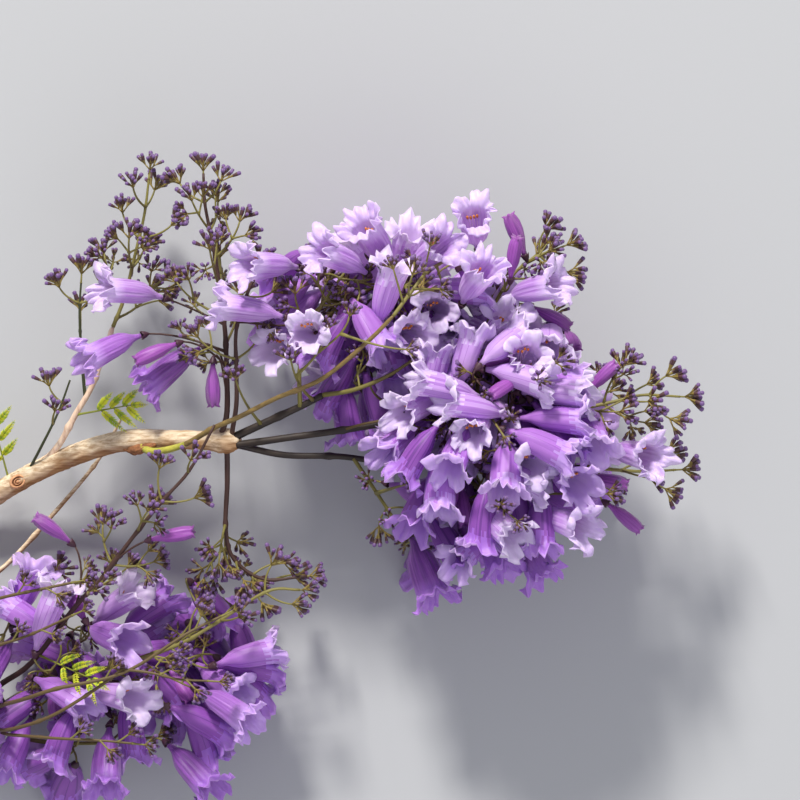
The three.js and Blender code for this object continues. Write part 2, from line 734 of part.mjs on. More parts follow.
// A young leaf: a midrib with pairs of pinnae, each pinna a thin lozenge of eight faces
function leafSolid(leaf, carrier) {
  const foot = point(leaf.foot);
  const tip = point(leaf.tip);
  const direction = heading(foot, tip);
  const sideways = new THREE.Vector3().crossVectors(direction, UP).normalize();
  const length = foot.distanceTo(tip);
  const parts = [tube(new THREE.LineCurve3(foot, tip), LEAF_RADII, 3, 1)];
  const pinna = (t, hand, reach) => {
    const forward = direction.clone().multiplyScalar(hand ? 0.6 : 1);
    const lean = along(forward, sideways, 0.8 * hand).normalize();
    const side = new THREE.Vector3().crossVectors(lean, UP).normalize();
    const from = along(along(foot, direction, t * length), lean, -1);
    const lozenge = new THREE.OctahedronGeometry(1).scale(0.15 * reach, 0.5 * reach, 0.5 * LEAF_THICKNESS);
    const place = (y) => ({ centre: along(from, lean, y + 0.5 * reach), tangent: lean, side });
    parts.push(bent(lozenge, place));
  };
  for (let i = 1; i <= leaf.pinnae; i++) {
    const t = 0.25 + (0.6 * i) / leaf.pinnae;
    for (const hand of [-1, 1]) pinna(t + 0.04 * hand, hand, length * (0.54 - 0.07 * i));
  }
  pinna(0.97, 0, 0.3 * length);
  return largest(wasm.Manifold.union(parts.map(solid)).subtract(carrier));
}

const BARK = new THREE.MeshStandardMaterial({ color: 0xb9a184, roughness: 0.9, metalness: 0 });
const STEM = new THREE.MeshStandardMaterial({ color: 0x6d6a3a, roughness: 0.7, metalness: 0 });
const TWIGS = new THREE.MeshStandardMaterial({ color: 0x8a6fb0, roughness: 0.7, metalness: 0 });
const PETAL = new THREE.MeshStandardMaterial({ color: 0xa98bd6, roughness: 0.6, metalness: 0 });
const LEAF = new THREE.MeshStandardMaterial({ color: 0x9cb82c, roughness: 0.6, metalness: 0 });
const WOODY = ["bough", "lower_limb", "bare_twig"];

const branch = new THREE.Group();
branch.position.set(CENTRE_X, CENTRE_Y, 0);

function show(name, shape, material) {
  const { vertProperties, triVerts } = shape.getMesh();
  const geometry = new THREE.BufferGeometry();
  geometry.setAttribute("position", new THREE.BufferAttribute(vertProperties, 3));
  geometry.setIndex(new THREE.BufferAttribute(triVerts, 1));
  geometry.computeVertexNormals();
  const mesh = new THREE.Mesh(geometry, material);
  mesh.name = name;
  branch.add(mesh);
}

const plants = growAll();

// What each limb or axis fills, grown by the seat, to cut what sits on it
const carriers = new Map();
for (const limb of LIMBS) {
  carriers.set(limb.name, solid(tube(spline(limb.path), limb.radii, limb.sides, limb.steps, SEAT)));
}
for (const plant of plants) {
  carriers.set(plant.name, solid(tube(plant.axis, plant.radii, AXIS_SIDES, AXIS_STEPS, SEAT)));
}
const nothing = solid(new THREE.BoxGeometry(1, 1, 1).translate(0, 0, -1000));
const carrierOf = (item) => carriers.get(item.on) ?? nothing;

for (const limb of LIMBS) {
  const whole = solid(tube(spline(limb.path), limb.radii, limb.sides, limb.steps));
  show(limb.name, largest(whole.subtract(carrierOf(limb))), WOODY.includes(limb.name) ? BARK : STEM);
}
for (const plant of plants) show(plant.name, panicleSolid(plant, carrierOf(plant)), TWIGS);
for (const flower of plants.flatMap((plant) => plant.flowers)) {
  if (flower.solo) show(flower.solo, solid(soloFlower(flower)), PETAL);
}
for (const leaf of LEAVES) show(leaf.name, leafSolid(leaf, carrierOf(leaf)), LEAF);

export default branch;
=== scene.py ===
# %% [markdown]
# # A jacaranda branch in bloom, cut and laid down
# A woody bough carries thin green stems. Each stem ends in loose panicles of violet flowers,
# with flat clusters of small buds and a few ferny young leaves.
# The plain solids of the drawing come in as a fixed frame, and show where everything goes.
# This lesson grows the same branch again by the same rule, carries it on to finer twigs,
# and gives each piece its own shape and finish.
# The tables hold millimetres, and one factor turns them into Blender's metres.

# %% Load the fixed frame
import json
import math

import bmesh
import bpy
import numpy as np
from mathutils import Matrix, Vector, noise


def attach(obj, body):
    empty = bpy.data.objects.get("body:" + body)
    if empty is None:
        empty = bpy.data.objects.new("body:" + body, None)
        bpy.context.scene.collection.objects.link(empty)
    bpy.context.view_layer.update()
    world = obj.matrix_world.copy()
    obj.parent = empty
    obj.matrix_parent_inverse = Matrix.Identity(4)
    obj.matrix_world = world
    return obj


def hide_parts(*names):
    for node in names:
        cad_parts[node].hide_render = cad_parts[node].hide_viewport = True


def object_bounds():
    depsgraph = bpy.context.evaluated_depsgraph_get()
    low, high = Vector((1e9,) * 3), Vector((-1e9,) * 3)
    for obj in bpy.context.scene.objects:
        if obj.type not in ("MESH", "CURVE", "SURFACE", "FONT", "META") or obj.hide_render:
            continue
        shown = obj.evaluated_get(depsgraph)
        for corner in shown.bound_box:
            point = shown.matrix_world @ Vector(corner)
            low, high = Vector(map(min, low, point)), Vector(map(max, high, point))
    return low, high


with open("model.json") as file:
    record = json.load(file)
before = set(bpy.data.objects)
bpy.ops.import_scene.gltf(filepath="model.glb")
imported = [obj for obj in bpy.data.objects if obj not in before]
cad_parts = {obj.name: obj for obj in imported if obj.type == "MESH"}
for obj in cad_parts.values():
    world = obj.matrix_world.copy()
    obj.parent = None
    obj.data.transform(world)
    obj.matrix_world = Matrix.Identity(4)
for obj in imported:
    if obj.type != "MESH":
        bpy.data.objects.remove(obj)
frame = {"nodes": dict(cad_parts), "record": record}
cad_box = [list(corner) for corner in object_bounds()]
MM = 0.001
print("solids:", len(frame["nodes"]), "box in metres:", cad_box)

# %% [markdown]
# ## Camera, floor and light
# The branch was photographed from far away with a long lens, so it shows hardly any perspective.
# It lies on its side here, so the camera hangs high over it and looks straight down.
# The middle of the picture is the origin of the drawing's tables.
# The cut face at the foot of the bough has its place in both, and tells how far the two are apart.

# %% Camera
BOUGH_FOOT = np.array([-305.0, -92.0, 7.0])
PICTURE_WIDTH = 480
FLOWER_HEIGHT = 85
CAMERA_HEIGHT = 6000
SENSOR_WIDTH = 36

cut_face = next(m for m in frame["record"]["mounts"] if m["name"] == "cut_face")
CENTRE = np.array(cut_face["pos_m"]) / MM - BOUGH_FOOT

lens = bpy.data.cameras.new("long_lens")
lens.sensor_width = SENSOR_WIDTH
lens.lens = SENSOR_WIDTH * (CAMERA_HEIGHT - FLOWER_HEIGHT) / PICTURE_WIDTH
camera = bpy.data.objects.new("camera", lens)
camera.location = (CENTRE[0] * MM, CENTRE[1] * MM, CAMERA_HEIGHT * MM)
bpy.context.scene.collection.objects.link(camera)
bpy.context.scene.camera = camera
print("lens in millimetres:", round(lens.lens), "picture centre:", CENTRE.round(2))

# %% [markdown]
# The floor is one wide pale sheet. A faint mottle in its roughness keeps it from looking like paper.

# %% Floor
FLOOR_SIZE = 16.0


def new_material(name):
    """A new material, with its nodes, its links and its shader."""
    material = bpy.data.materials.new(name)
    material.use_nodes = True
    tree = material.node_tree
    return material, tree.nodes, tree.links, tree.nodes["Principled BSDF"]


def set_inputs(node, values):
    """Gives a node's inputs their values, by name."""
    for name, value in values.items():
        node.inputs[name].default_value = value


def wire(links, *rows):
    """Links nodes; each row is [node, output, node, input]."""
    for source, output, target, entry in rows:
        links.new(source.outputs[output], target.inputs[entry])


shape = bmesh.new()
bmesh.ops.create_grid(shape, x_segments=8, y_segments=8, size=FLOOR_SIZE / 2)
sheet = bpy.data.meshes.new("floor")
shape.to_mesh(sheet)
shape.free()

pale_floor, nodes, links, shader = new_material("pale_floor")
set_inputs(shader, {"Base Color": (0.46, 0.47, 0.48, 1)})
spot, mottle = nodes.new("ShaderNodeTexCoord"), nodes.new("ShaderNodeTexNoise")
set_inputs(mottle, {"Scale": 9})
spread = nodes.new("ShaderNodeMapRange")
set_inputs(spread, {"To Min": 0.62, "To Max": 0.82})
wire(
    links,
    (spot, "Object", mottle, "Vector"),
    (mottle, "Fac", spread, "Value"),
    (spread, "Result", shader, "Roughness"),
)
sheet.materials.append(pale_floor)
floor = bpy.data.objects.new("floor", sheet)
bpy.context.scene.collection.objects.link(floor)
print("floor side in metres:", FLOOR_SIZE)

# %% [markdown]
# The sun stood above the top of the picture, and a little in front of the branch.
# A fairly small area light from that side keeps the bright upper edges and the shaded undersides.
# A large dim one from the other side and an even pale sky fill the shade.

# %% Lights
def area_light(name, place, size, power, colour):
    """An area light at a place in metres that faces the branch."""
    lamp = bpy.data.lights.new(name, "AREA")
    lamp.size = size
    lamp.energy = power
    lamp.color = colour
    holder = bpy.data.objects.new(name, lamp)
    holder.location = place
    holder.rotation_euler = (-Vector(place)).to_track_quat("-Z", "Y").to_euler()
    bpy.context.scene.collection.objects.link(holder)
    return lamp


key_light = area_light("sun_side", place=(-0.9, 4.2, 3.3), size=0.84, power=360, colour=(1.0, 0.97, 0.92))
fill_light = area_light("open_side", place=(0.9, -1.6, 1.6), size=2.2, power=16, colour=(0.94, 0.95, 1.0))

sky = bpy.data.worlds.new("pale_sky")
sky.use_nodes = True
set_inputs(sky.node_tree.nodes["Background"], {"Color": (0.88, 0.89, 0.97, 1), "Strength": 0.53})
bpy.context.scene.world = sky
bpy.context.scene.view_settings.view_transform = "Standard"
print("light powers:", key_light.energy, fill_light.energy)

# %% [markdown]
# ## The plan of the branch
# A limb or a panicle is a curve through a few points, with a radius at its foot and at its tip.
# `on` names the limb that carries a panicle. `pairs` places bud twigs two by two along it.
# `blooms` are flowers with a place of their own, and `solo` names the solid that one stands for.
# `fills` names a rounded space that the flowers of several panicles fill together.

# %% Limbs, spaces, panicles and leaves
LIMBS = [
    {
        "name": "bough",
        "radii": [7.0, 5.6],
        "steps": 11,
        "path": [
            [-305, -92, 7], [-270, -71, 16], [-240, -54, 26], [-204, -36, 40],
            [-168, -25, 54], [-132, -24, 66], [-96, -25, 75],
        ],
    },
    {
        "name": "lower_limb",
        "radii": [4.2, 2.6],
        "steps": 10,
        "path": [
            [-280, -77, 15], [-286, -103, 16], [-278, -131, 18],
            [-264, -158, 20], [-250, -178, 20], [-243, -196, 18],
        ],
    },
    {
        "name": "bare_twig",
        "radii": [1.8, 0.9],
        "steps": 10,
        "path": [
            [-284, -112, 16], [-262, -113, 17], [-240, -101, 18],
            [-204, -62, 22], [-182, -35, 26], [-168, -10, 34],
        ],
    },
    {
        "name": "left_shoot",
        "radii": [2.1, 1.4],
        "steps": 8,
        "path": [
            [-218, -40, 36], [-206, -27, 44], [-196, -9, 50],
            [-186, 8, 54], [-179, 27, 57], [-173, 44, 58],
        ],
    },
    {
        "name": "stub_stem",
        "radii": [2.6, 1.8],
        "steps": 5,
        "path": [[-99, -22, 76], [-84, -15, 80], [-60, -4, 85], [-46, 3, 88]],
    },
    {
        "name": "middle_stem",
        "radii": [2.3, 1.4],
        "steps": 10,
        "path": [
            [-98, -27, 77], [-70, -23, 84], [-34, -18, 90], [2, -12, 93],
            [30, -4, 93], [60, -4, 92], [88, -6, 92],
        ],
    },
    {
        "name": "lower_stem",
        "radii": [2.1, 1.3],
        "steps": 10,
        "path": [
            [-98, -27, 71], [-70, -33, 68], [-36, -34, 68], [0, -38, 70],
            [40, -36, 76], [76, -41, 79], [112, -40, 80],
        ],
    },
    {
        "name": "front_stem",
        "radii": [1.8, 1.2],
        "steps": 13,
        "path": [
            [-158, -27, 60], [-148, -31, 70], [-130, -27, 84], [-112, -17, 95], [-96, -10, 102],
            [-74, 1, 112], [-46, 13, 124], [-19, 35, 134], [-4, 50, 137],
        ],
    },
]

SPACES = [
    {"name": "ridge", "centre": [-10, 52, 82], "radii": [86, 56, 46], "count": 12, "tries": 2600, "seed": 4},
    {"name": "front", "centre": [-8, 4, 78], "radii": [54, 38, 34], "count": 6, "tries": 900, "seed": 6},
    {"name": "ball", "centre": [56, -20, 100], "radii": [76, 88, 60], "count": 23, "tries": 5200, "seed": 6},
    {"name": "spray", "centre": [-185, -165, 52], "radii": [125, 72, 44], "count": 13, "tries": 3200, "seed": 1},
]

PANICLES = [
    {
        "name": "left_panicle",
        "on": "left_shoot",
        "radii": [1.3, 0.7],
        "path": [[-173, 44, 58], [-166, 62, 59], [-160, 86, 60], [-154, 112, 60], [-151, 136, 60]],
        "pairs": {"count": 5, "from": 0.08, "spread": 50, "reach": [34, 14], "roll": 70},
    },
    {
        "name": "left_sprig",
        "on": "left_shoot",
        "radii": [1.1, 0.6],
        "path": [[-190, 2, 52], [-192, 28, 60], [-193, 54, 62], [-192, 72, 62]],
        "pairs": {"count": 2, "from": 0.5, "spread": 52, "reach": [20, 13], "roll": 95},
    },
    {
        "name": "low_sprig",
        "on": "bough",
        "radii": [1.0, 0.6],
        "path": [[-226, -45, 33], [-216, -27, 48], [-206, -7, 53], [-199, 12, 55]],
        "pairs": {"count": 2, "from": 0.55, "spread": 50, "reach": [15, 12], "roll": 90},
    },
    {
        "name": "upright_panicle",
        "on": "bough",
        "radii": [1.9, 0.8],
        "path": [
            [-108, -22, 74], [-104, -8, 80], [-104, 18, 84], [-105, 42, 86],
            [-108, 66, 86], [-112, 92, 86], [-117, 117, 84], [-118, 136, 84],
        ],
        "pairs": {"count": 6, "from": 0.38, "spread": 50, "reach": [42, 14], "roll": 75},
        "blooms": [
            {"foot": [-141, 61, 76], "mouth": [-180, 73, 92], "solo": "bloom_left_high"},
            {"foot": [-154, 39, 82], "mouth": [-191, 29, 98], "solo": "bloom_left_low"},
            {"foot": [-118, 32, 76], "mouth": [-158, 12, 74], "solo": "bloom_left_droop"},
            {"foot": [-112, 23, 92], "mouth": [-113, -3, 92], "shut": True, "solo": "bloom_hanging"},
            {"foot": [-133, 34, 92], "mouth": [-156, 26, 94], "shut": True},
        ],
    },
    {
        "name": "second_upright",
        "on": "bough",
        "radii": [1.6, 0.8],
        "path": [
            [-101, -20, 77.4], [-98, -2, 92], [-98, 18, 97],
            [-98, 42, 98], [-92, 62, 98], [-84, 80, 97],
        ],
        "pairs": {"count": 3, "from": 0.46, "spread": 55, "reach": [24, 13], "roll": 20},
        "blooms": [{"foot": [-68, 49, 114], "mouth": [-115, 65, 118], "solo": "bloom_upright"}],
    },
    {
        "name": "ridge_panicle",
        "on": "stub_stem",
        "fills": "ridge",
        "radii": [1.5, 0.8],
        "path": [[-60, -4, 86], [-60, 20, 92], [-54, 44, 92], [-42, 64, 92], [-32, 78, 92]],
        "pairs": {"count": 3, "from": 0.5, "spread": 50, "reach": [22, 14], "roll": 40},
        "blooms": [
            {"foot": [-60, 79, 100], "mouth": [-93, 87, 126], "solo": "bloom_ridge_left"},
            {"foot": [-19, 75, 98], "mouth": [-48, 96, 122], "solo": "bloom_ridge_middle"},
            {"foot": [-6, 78, 78], "mouth": [-21, 109, 100], "solo": "bloom_ridge_right"},
            {"foot": [-50, 40, 98], "mouth": [-58, 46, 141]},
            {"foot": [-30, 62, 45.4], "mouth": [-32, 72, 5.4]},
        ],
    },
    {
        "name": "top_panicle",
        "on": "front_stem",
        "radii": [1.2, 0.8],
        "path": [[-4, 50, 137], [8, 66, 134], [18, 78, 124], [34, 86, 108]],
        "pairs": {"count": 2, "from": 0.25, "spread": 55, "reach": [15, 11], "roll": 70},
        "blooms": [
            {"foot": [9, 78, 92], "mouth": [24, 99, 124], "solo": "bloom_top_left"},
            {"foot": [47, 90, 82], "mouth": [42, 116, 114], "solo": "bloom_top"},
            {"foot": [37, 57, 112], "mouth": [48, 83, 142], "solo": "bloom_top_front"},
        ],
    },
    {
        "name": "high_panicle",
        "on": "middle_stem",
        "fills": "ball",
        "radii": [1.4, 0.7],
        "path": [
            [46, -3, 92], [48, 26, 90], [54, 50, 90],
            [64, 70, 92], [78, 84, 92], [98, 92, 92],
        ],
        "pairs": {"count": 3, "from": 0.64, "spread": 50, "reach": [24, 15], "roll": 10},
        "blooms": [
            {"foot": [75, 86, 98], "mouth": [67, 108, 100], "shut": True, "solo": "bloom_shut_high"},
            {"foot": [66, 72, 108], "mouth": [68, 95, 114], "shut": True},
            {"foot": [56, 40, 47], "mouth": [64, 50, 7]},
            {"foot": [62, 60, 98], "mouth": [93, 75, 122], "solo": "bloom_high"},
            {"foot": [78, 56, 94], "mouth": [103, 45, 94], "shut": True, "solo": "bloom_shut_right"},
        ],
    },
    {
        "name": "front_panicle",
        "on": "stub_stem",
        "fills": "front",
        "radii": [1.6, 0.9],
        "path": [[-46, 3, 88], [-28, 6, 98], [-8, 14, 104], [8, 24, 106]],
    },
    {
        "name": "middle_panicle",
        "on": "middle_stem",
        "fills": "ball",
        "radii": [1.5, 0.9],
        "path": [[30, -4, 94], [46, 2, 102], [62, 8, 108], [78, 14, 110]],
    },
    {
        "name": "right_panicle",
        "on": "middle_stem",
        "radii": [1.4, 0.7],
        "path": [[88, -6, 92], [108, -5, 92], [128, -1, 92], [146, 3, 92], [168, 2, 90]],
        "pairs": {"count": 4, "from": 0.24, "spread": 46, "reach": [30, 14], "roll": 100},
        "blooms": [
            {"foot": [125, -30, 84], "mouth": [150, -29, 118], "solo": "bloom_right"},
            {"foot": [112, 4, 96], "mouth": [126, 20, 98], "shut": True},
        ],
    },
    {
        "name": "low_right_panicle",
        "on": "lower_stem",
        "radii": [1.3, 0.7],
        "path": [[112, -40, 80], [130, -42, 77], [148, -43, 74], [166, -42, 72]],
        "pairs": {"count": 2, "from": 0.4, "spread": 48, "reach": [18, 12], "roll": 100},
        "blooms": [
            {"foot": [110, -46, 94], "mouth": [134, -49, 96], "shut": True, "solo": "bloom_shut_low"},
            {"foot": [124, -62, 74], "mouth": [144, -76, 72], "shut": True},
        ],
    },
    {
        "name": "drooping_panicle",
        "on": "lower_stem",
        "fills": "ball",
        "radii": [1.3, 0.8],
        "path": [[-28, -35, 69], [-14, -56, 66], [-2, -74, 62], [6, -84, 60]],
        "pairs": {"count": 2, "from": 0.5, "spread": 60, "reach": [14, 12], "roll": 10},
        "blooms": [
            {"foot": [6, -81, 76], "mouth": [24, -119, 88], "solo": "bloom_low_left"},
            {"foot": [-8, -50, 82], "mouth": [26, -58, 96]},
            {"foot": [10, -90, 48], "mouth": [14, -98, 9]},
        ],
    },
    {
        "name": "low_front_panicle",
        "on": "lower_stem",
        "fills": "ball",
        "radii": [1.4, 0.8],
        "path": [[34, -37, 76], [42, -48, 88], [50, -56, 96]],
        "blooms": [
            {"foot": [48, -63, 96], "mouth": [63, -101, 110], "solo": "bloom_low_middle"},
            {"foot": [67, -71, 84], "mouth": [89, -105, 100], "solo": "bloom_low_right"},
            {"foot": [78, -67, 104], "mouth": [111, -72, 130], "solo": "bloom_side"},
        ],
    },
    {
        "name": "back_right_panicle",
        "on": "middle_stem",
        "fills": "ball",
        "radii": [1.4, 0.8],
        "path": [[58, -4, 91], [66, -8, 72], [72, -14, 58], [76, -22, 48]],
        "blooms": [{"foot": [104, -40, 47], "mouth": [114, -48, 8]}],
    },
    {
        "name": "hanging_panicle",
        "on": "bough",
        "radii": [1.8, 0.8],
        "path": [
            [-104, -27, 72], [-104, -50, 64], [-105, -78, 60],
            [-100, -96, 58], [-82, -108, 58], [-56, -106, 58],
        ],
        "pairs": {"count": 5, "from": 0.38, "spread": 52, "reach": [28, 14], "roll": 95},
    },
    {
        "name": "rising_panicle",
        "on": "lower_limb",
        "radii": [2.0, 0.8],
        "path": [
            [-250, -178, 20], [-240, -171, 28], [-222, -158, 44], [-196, -125, 64], [-180, -108, 74],
            [-160, -82, 84], [-143, -61, 90], [-126, -42, 94], [-111, -15, 100],
        ],
        "pairs": {"count": 5, "from": 0.44, "spread": 50, "reach": [28, 12], "roll": 85},
        "blooms": [
            {"foot": [-150, -84, 90], "mouth": [-123, -77, 94], "shut": True},
            {"foot": [-198, -86, 66], "mouth": [-219, -69, 68], "shut": True, "solo": "bloom_shut_left"},
        ],
    },
    {
        "name": "level_panicle",
        "on": "lower_limb",
        "fills": "spray",
        "radii": [1.8, 0.8],
        "path": [
            [-246, -188, 20], [-226, -176, 34], [-206, -170, 48], [-165, -158, 64],
            [-133, -147, 72], [-112, -135, 76], [-80, -115, 80], [-60, -114, 80],
        ],
        "pairs": {"count": 4, "from": 0.5, "spread": 52, "reach": [24, 13], "roll": 100},
        "blooms": [
            {"foot": [-123, -174, 74], "mouth": [-87, -189, 92], "solo": "bloom_lower_side"},
            {"foot": [-112, -160, 70], "mouth": [-81, -147, 66]},
            {"foot": [-120, -140, 47], "mouth": [-112, -150, 8]},
        ],
    },
    {
        "name": "floor_panicle",
        "on": "lower_limb",
        "fills": "spray",
        "radii": [1.6, 0.8],
        "path": [[-242, -196, 16], [-224, -206, 18], [-198, -208, 24], [-170, -207, 34], [-150, -204, 40]],
        "pairs": {"count": 1, "from": 0.7, "spread": 50, "reach": [16, 12], "roll": 60},
        "blooms": [
            {"foot": [-175, -196, 54], "mouth": [-180, -231, 76], "solo": "bloom_lower_left"},
            {"foot": [-141, -207, 52], "mouth": [-111, -231, 70], "solo": "bloom_lower_front"},
            {"foot": [-196, -220, 46], "mouth": [-206, -232, 9]},
        ],
    },
    {
        "name": "inner_panicle",
        "on": "lower_limb",
        "fills": "spray",
        "radii": [1.6, 0.8],
        "path": [[-280, -126, 18], [-258, -124, 24], [-240, -120, 30], [-218, -115, 36], [-196, -111, 40]],
        "pairs": {"count": 1, "from": 0.8, "spread": 50, "reach": [16, 12], "roll": 60},
    },
]

LEAVES = [
    {"name": "leaf_outer", "foot": [-236, -52, 26], "tip": [-246, -12, 44], "pinnae": 3},
    {"name": "leaf_shoot", "foot": [-196, -9, 50], "tip": [-162, -3, 62], "pinnae": 3},
    {"name": "leaf_lower", "foot": [-218, -154, 47], "tip": [-184, -168, 80], "pinnae": 3},
]
print("limbs:", len(LIMBS), "panicles:", len(PANICLES))

# %% [markdown]
# ## The rule of growth
# The solids were placed by a rule, and the same rule has to give the same places here.
# So the curves, the dice and the order of the steps are written again just as they are in the drawing,
# in numpy's double precision, because Blender's own vectors would round the numbers differently.

# %% Sizes of the rule
OPEN_LENGTH = 44
SHUT_LENGTH = 27
NECK_RADIUS = 2.1
DROOP = 0.16
CALYX_LENGTH = 3.2
TWIG_RADIUS = 0.8
BUD_REACH = 9.5
CLUSTER_RADIUS = 6.5
LEAF_HALF_WIDTH = 12
AXIS_STEPS = 7
CLEAR = 1.1
KIN = 0.8
KIN_TWIG = 0.25
REACH = 62
SHORTEST_STALK = 3
FLOOR_CLEAR = 0.5
TWIG_SPOTS = (0.3, 0.44, 0.58, 0.72, 0.86, 1)
TAPS = (0.3, 0.4, 0.5, 0.6, 0.7, 0.8, 0.9, 0.98)
LAST_PAIR = 0.97
OPEN_BALLS = [(0.34, 5.5), (0.6, 9), (0.87, 14)]
SHUT_BALLS = [(0.4, 3.2), (0.8, 4.6)]
MOUTH_RADIUS = OPEN_BALLS[-1][1]
EVEN_STEPS = np.array([0.8191725, 0.6710436, 0.5497005])


def unit(v):
    return v / np.linalg.norm(v)


UP = np.array([0.0, 0.0, 1.0])
HANG = unit(np.array([0.25, -1.0, -0.2]))
SPREAD = np.array([1, 1, 0.55])
print("open flower:", OPEN_LENGTH, "mm, closed flower:", SHUT_LENGTH, "mm")


# %% Curves
class Spline:
    """A smooth curve through points; t runs from 0 at the first to 1 at the last."""

    def __init__(self, path):
        points = np.array(path, float)
        first, last = 2 * points[0] - points[1], 2 * points[-1] - points[-2]
        self.points = np.vstack([first, points, last])
        self.spans = len(path) - 1

    def at(self, t):
        i = min(int(t * self.spans), self.spans - 1)
        w = t * self.spans - i
        before, a, b, after = self.points[i : i + 4]
        leaving, arriving = (b - before) / 2, (after - a) / 2
        square = 3 * (b - a) - 2 * leaving - arriving
        cube = 2 * (a - b) + leaving + arriving
        return a + leaving * w + square * w**2 + cube * w**3

    def along(self, shares):
        return [self.at(t) for t in shares]

    def tangent(self, t):
        return unit(self.at(min(1, t + 1e-4)) - self.at(max(0, t - 1e-4)))


def on_steps(curve, steps, t):
    """The point at t on the straight steps that the solids are drawn with."""
    i = min(steps - 1, int(t * steps))
    low, high = curve.at(i / steps), curve.at((i + 1) / steps)
    return low + (high - low) * (t * steps - i)


bough_curve = Spline(LIMBS[0]["path"])
print("the bough ends at", bough_curve.at(1))


# %% Dice and directions
def dice(seed):
    """Repeatable random numbers between 0 and 1."""
    state = seed * 7919 + 12345

    def roll():
        nonlocal state
        state = state * 16807 % 2147483647
        return state / 2147483647

    return roll


def across(d):
    """A unit vector square to d."""
    return unit(np.cross(d, UP if abs(d[2]) < 0.9 else [1.0, 0.0, 0.0]))


def tilted(d, angle, turn):
    """d tilted by an angle, towards a turn about itself."""
    a = across(d)
    side = a * math.cos(turn) + np.cross(d, a) * math.sin(turn)
    return unit(d * math.cos(angle) + side * math.sin(angle))


def sag_of(d):
    """The way in which a flower's mouth sags, square to the flower."""
    return unit(HANG - d * HANG.dot(d))


print("tilted by a quarter turn:", tilted(UP, math.pi / 2, 0).round(3))


# %% [markdown]
# A flower is a foot, a direction, and whether it is shut. Its own axis bends down towards the mouth.
# What is taken up so far is kept as round-ended rods. A new twig, flower or bud cluster is a few balls,
# and it is left out where a ball would come too near a rod.

# %% Flowers and the room they take
def length_of(flower):
    return SHUT_LENGTH if flower["shut"] else OPEN_LENGTH


def flower_point(flower, s):
    length = length_of(flower)
    bend = (0.4 if flower["shut"] else 1) * DROOP * length * s * s
    return flower["foot"] + flower["direction"] * length * s + sag_of(flower["direction"]) * bend


def heel_of(flower):
    return flower["foot"] - flower["direction"] * CALYX_LENGTH


class Rods:
    """Round-ended rods, each with a radius and an owner."""

    def __init__(self, most=9000):
        self.a = np.zeros((most, 3))
        self.span = np.zeros((most, 3))
        self.r = np.zeros(most)
        self.owner = np.zeros(most, int)
        self.names = {}
        self.count = 0

    def number(self, owner):
        return self.names.setdefault(owner, len(self.names))

    def take(self, a, b, r, owner):
        i = self.count
        self.a[i], self.span[i], self.r[i], self.owner[i] = a, b - a, r, self.number(owner)
        self.count += 1

    def gaps(self, p):
        """How far p is from the middle line of each rod."""
        a, span = self.a[: self.count], self.span[: self.count]
        reach = np.maximum((span * span).sum(1), 1e-12)
        t = np.clip(((p - a) * span).sum(1) / reach, 0, 1)
        return np.linalg.norm(p - a - span * t[:, None], axis=1)


rods = Rods()
print("room for rods:", len(rods.r))


# %% What is free
def is_free(balls, owner, share):
    """Whether balls are clear of every rod; the owner's own may come nearer, by a share."""
    for p, r in balls:
        if p[2] < r + FLOOR_CLEAR:
            return False
        reach = r + rods.r[: rods.count]
        own = rods.owner[: rods.count] == rods.number(owner)
        if np.any(rods.gaps(p) < np.where(own, reach * share, reach + CLEAR)):
            return False
    return True


def twig_balls(start, end):
    return [(start + (end - start) * t, TWIG_RADIUS) for t in TWIG_SPOTS]


def flower_balls(flower):
    return [(flower_point(flower, s), r) for s, r in (SHUT_BALLS if flower["shut"] else OPEN_BALLS)]


def take_flower(flower, owner):
    low, high = (3.2, 4.8) if flower["shut"] else (5.5, 9)
    spots = [flower_point(flower, s) for s in (0.3, 0.5, 0.6, 0.75, 0.87, 0.9)]
    rods.take(flower["foot"], spots[0], NECK_RADIUS + 0.5, owner)
    rods.take(spots[0], spots[2], low, owner)
    rods.take(spots[1], spots[3], high, owner)
    if not flower["shut"]:
        rods.take(spots[4], spots[5], MOUTH_RADIUS, owner)


def take_curve(curve, steps, radii, owner):
    for i in range(steps):
        r = radii[0] + (radii[1] - radii[0]) * i / steps
        rods.take(curve.at(i / steps), curve.at((i + 1) / steps), r, owner)


print("balls that an open flower needs clear:", len(OPEN_BALLS))


# %% [markdown]
# A panicle starts as its axis. Flowers hang on stalks that leave the axis or an older stalk,
# and bud twigs stand in pairs, each pair a quarter turn on from the last.

